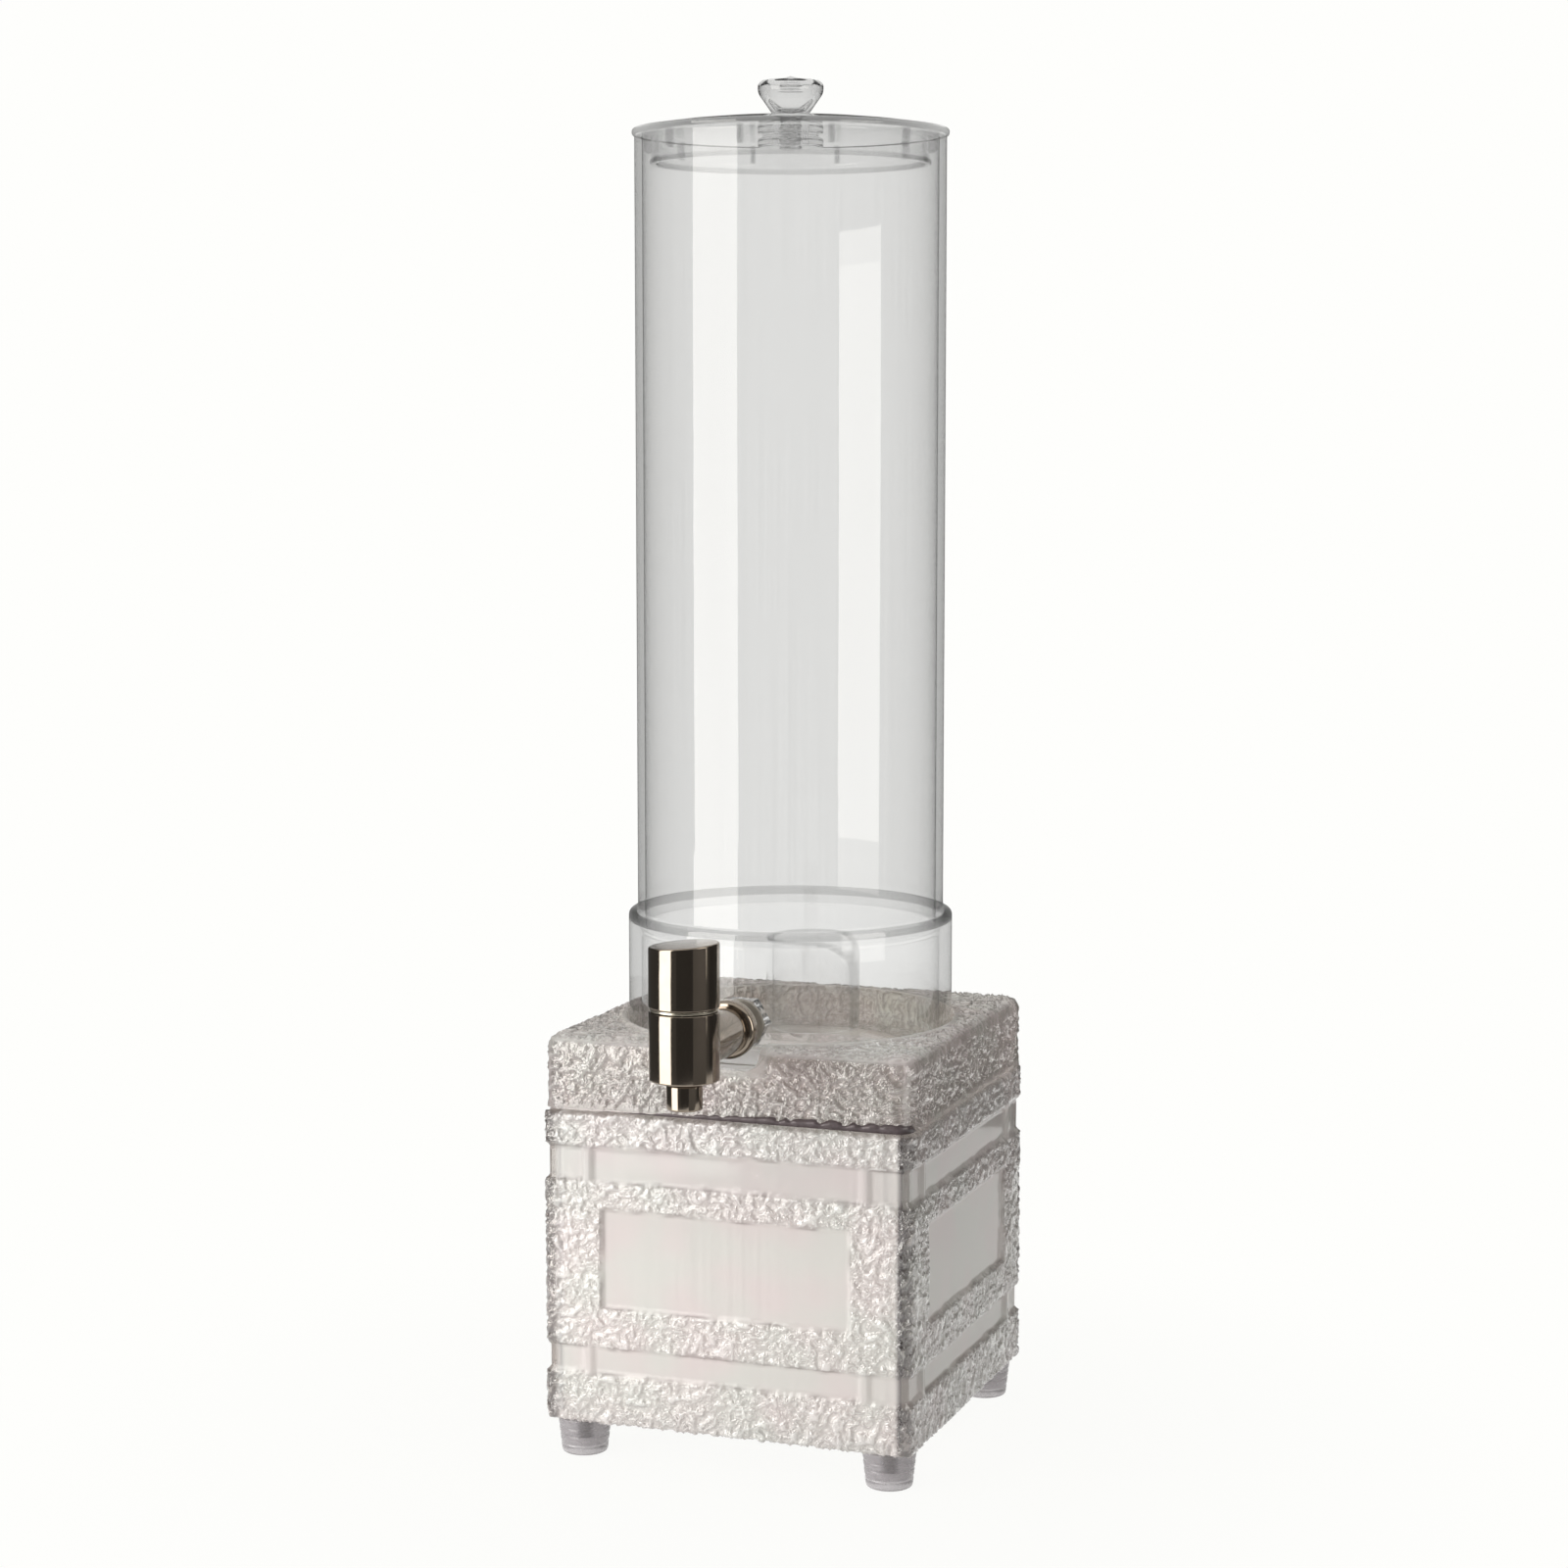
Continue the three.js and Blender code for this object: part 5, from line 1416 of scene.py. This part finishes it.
def seam_gap(place):
    """How far the cap stands off the housing: wider towards the right of the front, closed elsewhere."""
    across = (place.x - TOWER[0]) / BASE_HALF
    front = soft(TOWER[1] - BASE_HALF + CAP_CORNER - place.y, CAP_CORNER)
    wide = SEAM_WIDEST * front * soft(across + 0.2, SEAM_TAPER)
    bump = SEAM_BITE * soft(noise.noise(place / SEAM_BUMP) - 0.2, 0.6)
    return max(SEAM_CLOSED, wide * (1 - bump) + SEAM_WANDER * noise.noise(place / WANDER_SIZE))


def ceiling(place):
    """Height of the hollow's ceiling: under the deck, but lower under the notch."""
    at_notch = abs(place.x - TOWER[0]) < NOTCH_HALF + NOTCH_SILL and place.y < TOWER[1]
    return cap_high.z - (NOTCH_DEPTH + NOTCH_SILL if at_notch else DECK)


def raised(points, heights):
    """The same points at other heights."""
    return [Vector((point.x, point.y, height)) for point, height in zip(points, heights)]


def cap_rings():
    """The cap's section as rings, from its lip round the outside, the deck, the well and the hollow."""
    lip = SHELL_INNER - SEAT
    groove = at_height(BASE_HALF - RELIEF, CAP_CORNER - RELIEF, cap_z)
    side = at_height(BASE_HALF, CAP_CORNER, cap_z)
    seam_tops = [cap_z + seam_gap(place) for place in side]
    rings = [at_height(lip, INNER_CORNER, cap_low.z), at_height(lip, INNER_CORNER, cap_z)]
    rings += [groove, raised(groove, seam_tops)]
    side_top = cap_high.z - CAP_EDGE
    side_rows = round((side_top - cap_z) / ROW)
    for row in range(side_rows + 1):
        rings.append(raised(side, [low + (side_top - low) * row / side_rows for low in seam_tops]))
    for row in range(1, EDGE_ROWS + 1):
        turn = math.pi / 2 * row / EDGE_ROWS
        inset = CAP_EDGE * (1 - math.cos(turn))
        rings.append(at_height(BASE_HALF - inset, CAP_CORNER - inset, side_top + CAP_EDGE * math.sin(turn)))
    outer = rings[-1]
    inner = circle_ring(WELL_RADIUS + WELL_EDGE, cap_high.z)
    for row in range(1, DECK_ROWS + 1):
        rings.append([a.lerp(b, row / DECK_ROWS) for a, b in zip(outer, inner)])
    for turn in (math.pi / 6, math.pi / 3, math.pi / 2):
        drop = WELL_EDGE * (1 - math.cos(turn))
        rings.append(circle_ring(WELL_RADIUS + WELL_EDGE * (1 - math.sin(turn)), cap_high.z - drop))
    well_top = cap_high.z - WELL_EDGE
    for row in range(1, WELL_ROWS + 1):
        rings.append(circle_ring(WELL_RADIUS, well_top + (ledge_z - well_top) * row / WELL_ROWS))
    for row in range(1, LEDGE_ROWS + 1):
        rings.append(circle_ring(WELL_RADIUS - LEDGE_WIDE * row / LEDGE_ROWS, ledge_z))
    rings.append(circle_ring(WELL_RADIUS - LEDGE_WIDE, ledge_z - LEDGE))
    under = circle_ring(WELL_RADIUS + WELL_WALL, ledge_z - LEDGE)
    rings += [under, raised(under, [ceiling(place) for place in under])]
    hollow = at_height(BASE_HALF - CAP_WALL, CAP_CORNER / 2, cap_z + LIP_FLANGE)
    rings += [raised(hollow, [ceiling(place) for place in hollow]), hollow]
    rings.append(at_height(lip - LIP_WALL, INNER_CORNER / 2, cap_z + LIP_FLANGE))
    rings.append(at_height(lip - LIP_WALL, INNER_CORNER / 2, cap_low.z))
    return rings


cap = shell("ice_cap", cap_rings())
print("points of the cap:", len(cap.data.vertices))

# %% [markdown]
# The notch is cut from above with a block whose lower corners are rounded. The crinkle runs over the sides
# and the deck and into the well, but stays away from the notch and the seam. The deck and the well are
# milkier and paler than the sides: painted light, standing in for the light that comes through the clear
# moulding there.

# %% Notch and crinkle of the cap
NOTCH_CORNER = 7.0
NOTCH_CLEAR = 3.0
CAP_CRINKLE = 1.7
WELL_ICE = 1.1
DECK_ICE = 1.1
EDGE_CALM = 0.4
SIDE_MILK = 0.3


def notch_tool():
    """A block with two rounded lower corners that cuts the notch from above."""
    front = TOWER[1] - 1.1 * BASE_HALF
    back = TOWER[1] - 0.5 * BASE_HALF
    bottom = cap_high.z - NOTCH_DEPTH
    left = TOWER[0] - NOTCH_HALF
    right = TOWER[0] + NOTCH_HALF
    centre_z = bottom + NOTCH_CORNER
    outline = [
        (right, cap_high.z + CAP_EDGE), (left, cap_high.z + CAP_EDGE),
        *arc(left + NOTCH_CORNER, centre_z, NOTCH_CORNER, 180, 270),
        *arc(right - NOTCH_CORNER, centre_z, NOTCH_CORNER, 270, 360)]
    return block("notch_tool", outline, front, back)


def cap_ice(point):
    """How crinkled the cap is at a point: not underneath or close to the notch, and less in the well."""
    across = Vector((point.x - TOWER[0], point.y - TOWER[1]))
    reach = max(abs(across.x), abs(across.y))
    on_side = soft(reach - BASE_HALF + 2, 2) * soft(point.z - cap_z - 3, 5)
    fade = 1 - EDGE_CALM * soft(point.z - cap_high.z + CAP_EDGE, 2 * CAP_EDGE)
    on_deck = DECK_ICE * soft(across.length - WELL_RADIUS - 3.5, 3) * soft(point.z - cap_high.z + 1.5, 1)
    from_notch = max(
        abs(across.x) - NOTCH_HALF, cap_high.z - NOTCH_DEPTH - point.z, across.y + 0.5 * BASE_HALF)
    in_well = soft(WELL_RADIUS + 0.5 - across.length, 0.4) * soft(point.z - ledge_z + 0.2, 0.2)
    on_ledge = WELL_ICE * in_well * soft(across.length - WELL_RADIUS + LEDGE_WIDE - 2, 2)
    return max(on_side * fade, on_deck, on_ledge) * soft(from_notch - NOTCH_CLEAR, 3)


def cap_painted_light(point):
    """How milky and pale the cap is at a point, as painted light: a little at the sides, most on the deck and
    in the well.
    """
    reach = math.hypot(point.x - TOWER[0], point.y - TOWER[1])
    outside = soft(reach - WELL_RADIUS - WELL_EDGE, 1)
    on_top = soft(point.z - cap_high.z + 2.5, 3)
    return max(1 - outside, SIDE_MILK + (1 - SIDE_MILK) * on_top)


cut(cap, notch_tool())
note(cap, "ice", [cap_ice(vertex.co / MM) for vertex in cap.data.vertices])
note(cap, "backing_and_painted_light", [cap_painted_light(vertex.co / MM) for vertex in cap.data.vertices])
crinkle(cap, CAP_CRINKLE, CAP_ICE)
dress(cap, CAP_ICE, "base", "ice_acrylic", "base_cap")

# %% [markdown]
# Where the cap stands off the housing the eye looks into the dark of the seam. A thin ring in the groove
# is painted shade for it: a thin dark ring, mottled at the scale of the flakes.

# %% Shade in the seam
SHADE_OUT = 0.4
SHADE_PLAY = 0.05
groove_half = BASE_HALF - RELIEF + SHADE_PLAY
shade_inner = at_height(groove_half, CAP_CORNER - RELIEF, cap_z + SHADE_PLAY)
shade_outer = at_height(groove_half + SHADE_OUT, CAP_CORNER - RELIEF + SHADE_OUT, cap_z + SHADE_PLAY)
shade_tops = [
    cap_z + seam_gap(place) - SHADE_PLAY for place in at_height(BASE_HALF, CAP_CORNER, cap_z)]
seam_shade = shell("seam_shade", [
    shade_inner, shade_outer, raised(shade_outer, shade_tops), raised(shade_inner, shade_tops)])
dress(seam_shade, SHADE, "base", "ice_acrylic")

# %% [markdown]
# The tap is turned on a lathe: an upright barrel, a neck on which the slanted cap turns, a bright ring in the
# seam, a nozzle below and a shank that runs back through the collar. All are turned profiles, and rods of
# the right size cut their holes.

# %% Tap body, seam ring and nozzle
BARREL_RADIUS = body_high.x - TAP[0]
SPIGOT_RADIUS = 11.6
CHAMBER_RADIUS = 7.3
STEM_HOLE = 4.4
CHAMBER_RISE = 9.0
seam_low, seam_high = size("tap_seam_ring")
body_top = seam_low.z - SEAT
chamber_top = TAP_Z + CHAMBER_RISE
tap_body = turned("tap_barrel", [
    (CHAMBER_RADIUS, body_low.z, 0.3), (BARREL_RADIUS, body_low.z, 0.8),
    (BARREL_RADIUS, body_top, 0.5), (SPIGOT_RADIUS, body_top, 0), (SPIGOT_RADIUS, body_high.z, 0.6),
    (STEM_HOLE, body_high.z, 0.4), (STEM_HOLE, chamber_top, 0), (CHAMBER_RADIUS, chamber_top, 0.5)], axis=TAP)
inlet = rod("inlet_hole", CHAMBER_RADIUS, TAP[1], TAP[1] + 2 * BARREL_RADIUS, axis=TAP_LINE, forward=True)
cut(tap_body, inlet)
dress(tap_body, NICKEL, "tank", "dark_nickel", "tap_body")

seam_radius = seam_high.x - TAP[0]
seam_ring = turned("bright_seam_ring", ring(
    SPIGOT_RADIUS + SEAT, seam_radius, seam_low.z, seam_high.z, 0.35), axis=TAP)
dress(seam_ring, STEEL, "tank", "steel", "tap_seam_ring")

nozzle_low, nozzle_high = size("tap_nozzle")
NOZZLE_RADIUS = nozzle_high.x - TAP[0]
NOZZLE_NECK = 1.6
NECK_RADIUS = 7.4
NOZZLE_BORE = 4.5
MOUTH_RADIUS = 6.3
MOUTH_DEPTH = 5.0
neck_top = body_low.z - SEAT
nozzle = turned("tap_spout", [
    (NOZZLE_BORE, nozzle_high.z, 0.3), (NOZZLE_BORE, nozzle_low.z + MOUTH_DEPTH, 1),
    (MOUTH_RADIUS, nozzle_low.z + MOUTH_DEPTH - 1.5, 1), (MOUTH_RADIUS, nozzle_low.z, 0.4),
    (NOZZLE_RADIUS, nozzle_low.z, 0.9), (NOZZLE_RADIUS, neck_top - NOZZLE_NECK, 0.7),
    (NECK_RADIUS, neck_top - NOZZLE_NECK, 0.3), (NECK_RADIUS, neck_top, 0.2),
    (CHAMBER_RADIUS - SEAT, neck_top, 0), (CHAMBER_RADIUS - SEAT, nozzle_high.z, 0.3)], axis=TAP, segments=96)
dress(nozzle, NICKEL, "tank", "dark_nickel", "tap_nozzle")

# %% [markdown]
# The cap of the tap has a slanted top. It could be cut by a tilted plane, but then its rim would lose its
# fillet. So the points near the top are sheared instead, more the higher they lie.

# %% Slanted cap of the tap
SLANT = math.radians(4.5)
RUN = 0.4
VALVE_LIFT = 4.0
cap_nose_low, cap_nose_high = size("tap_cap")
stem_top = size("valve_plunger")[1].z
handle_top = cap_nose_high.z - BARREL_RADIUS * math.tan(SLANT)
slant_from = stem_top + VALVE_LIFT + 1.5
handle = turned("slanted_tap_cap", [
    (SPIGOT_RADIUS + RUN, cap_nose_low.z, 0.3), (BARREL_RADIUS, cap_nose_low.z, 0.5),
    (BARREL_RADIUS, handle_top, 0.9), (0, handle_top, 0), (0, stem_top + VALVE_LIFT + RUN, 0),
    (STEM_HOLE, stem_top + VALVE_LIFT + RUN, 0), (STEM_HOLE, body_high.z + RUN, 0),
    (SPIGOT_RADIUS + RUN, body_high.z + RUN, 0.5)], axis=TAP)
for vertex in handle.data.vertices:
    rise = max(0.0, vertex.co.z / MM - slant_from) / (handle_top - slant_from)
    vertex.co.z += rise * (vertex.co.x - TAP[0] * MM) * math.tan(SLANT)
screw_low, screw_high = size("cap_set_screw")
screw_line = (TAP[0], (screw_low.z + screw_high.z) / 2)
screw_radius = (screw_high.z - screw_low.z) / 2 + SEAT
screw_hole = rod(
    "set_screw_hole", screw_radius, screw_low.y - 1, screw_high.y + 5,
    axis=screw_line, forward=True, segments=32)
cut(handle, screw_hole)
dress(handle, NICKEL, "tap_handle", "dark_nickel", "tap_cap")

# %% [markdown]
# A flange and a washer close the hole in the collar, and the shank carries the drink. Room for the barrel is
# cut from the shank, and room for the round collar from the washer, each by a rod with a little play.

# %% Flange, shank and washer
flange_low, flange_high = size("tap_flange")
FLANGE_RADIUS = (flange_high.z - flange_low.z) / 2
flange = turned("tap_flange_disc", [
    (THREAD_RADIUS + SEAT, flange_low.y, 0.4), (FLANGE_RADIUS, flange_low.y, 2.5),
    (FLANGE_RADIUS, flange_high.y, 0.6), (THREAD_RADIUS + SEAT, flange_high.y, 0.4)],
    axis=TAP_LINE, forward=True)
dress(flange, NICKEL, "tank", "dark_nickel", "tap_flange")

SHANK_RADIUS = 11.5
SHANK_BORE = 5.2
shank_step = flange_low.y - SEAT
shank = turned("tap_shank_bar", [
    (SHANK_BORE, shank_high.y, 0.4), (THREAD_RADIUS, shank_high.y, 0.8), (THREAD_RADIUS, shank_step, 0),
    (SHANK_RADIUS, shank_step, 0.5), (SHANK_RADIUS, TAP[1], 0), (SHANK_BORE, TAP[1], 0)],
    axis=TAP_LINE, forward=True, segments=96)
barrel_room = rod("barrel_room", BARREL_RADIUS + SEAT, nozzle_low.z, cap_nose_high.z, axis=TAP, segments=144)
cut(shank, barrel_room)
dress(shank, NICKEL, "tank", "dark_nickel", "tap_shank")

washer_low, washer_high = size("tap_outer_washer")
WASHER_RADIUS = (washer_high.z - washer_low.z) / 2
washer = turned("outer_washer", [
    (THREAD_RADIUS + SEAT, washer_low.y, 0.3), (WASHER_RADIUS, washer_low.y, 0.8),
    (WASHER_RADIUS, washer_high.y + 2, 0), (THREAD_RADIUS + SEAT, washer_high.y + 2, 0)],
    axis=TAP_LINE, forward=True, segments=96)
collar_room = rod("collar_room", COLLAR_RADIUS + SEAT, collar_low.z, collar_high.z, segments=FINE)
cut(washer, collar_room)
dress(washer, SILICONE, "tank", "silicone", "tap_outer_washer")

# %% [markdown]
# Four tapered feet carry the base. They are small mouldings with a rounded sole, a few shallow rings from
# the mould, and a blind hole for the screw.

# %% Feet
CORNERS = ("front_left", "front_right", "rear_left", "rear_right")
FOOT_TIP = 11.0
FOOT_SCREW_HOLE = 2.8
FOOT_RINGS = (5.2, 9.4, 13.2)
FOOT_RING_DEPTH = 0.35
FOOT_RING_HALF = 0.9


def foot_profile(top, radius, hole_end):
    """A tapered foot with shallow rings round its flank."""
    corners = [(0, 0, 0), (FOOT_TIP, 0, 1.6)]
    for height in FOOT_RINGS:
        for offset, depth in ((-FOOT_RING_HALF, 0), (0, FOOT_RING_DEPTH), (FOOT_RING_HALF, 0)):
            taper = FOOT_TIP + (radius - FOOT_TIP) * (height + offset) / top
            corners.append((taper - depth, height + offset, 0.6))
    corners += [(radius, top, 0.5), (FOOT_SCREW_HOLE, top, 0)]
    corners += [(FOOT_SCREW_HOLE, hole_end, 0), (0, hole_end, 0)]
    return corners


for corner in CORNERS:
    foot_low, foot_high = size("foot_" + corner)
    foot_axis = ((foot_low.x + foot_high.x) / 2, (foot_low.y + foot_high.y) / 2)
    foot_radius = (foot_high.x - foot_low.x) / 2
    screw_foot = size("foot_screw_" + corner)[0].z - SEAT
    foot = turned("tapered_foot_" + corner, foot_profile(foot_high.z, foot_radius, screw_foot),
                  axis=foot_axis, closed=False, segments=72)
    dress(foot, SMOKE, "base", "smoke_plastic", "foot_" + corner)

# %% [markdown]
# The rest of the CAD nodes have the right shape already: the floor plate, the liner, the screws, the nut and
# the valve inside the tap. They only need their finishes.

# %% Finishes of the nodes that stay
KEPT = {
    "base_plate": CLEAR, "base_liner": PEARL, "tap_inner_washer": SILICONE, "tap_nut": SOLID_CLEAR,
    "stem_o_ring": SILICONE, "cap_set_screw": STEEL, "valve_plunger": STEEL, "plunger_seal": SILICONE,
}
for corner in CORNERS:
    KEPT["foot_screw_" + corner] = STEEL
for name, finish in KEPT.items():
    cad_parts[name].material_slots[0].material = finish
print("finishes given to", len(KEPT), "nodes that stay")

# %% [markdown]
# The dressed tower should not outgrow the CAD model; both boxes are printed in millimetres.

# %% Sizes and finish
visual_box = [list(corner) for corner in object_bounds()]
for name, (low, high) in (("cad", cad_box), ("visual", visual_box)):
    print(name, [round((b - a) / MM, 1) for a, b in zip(low, high)])
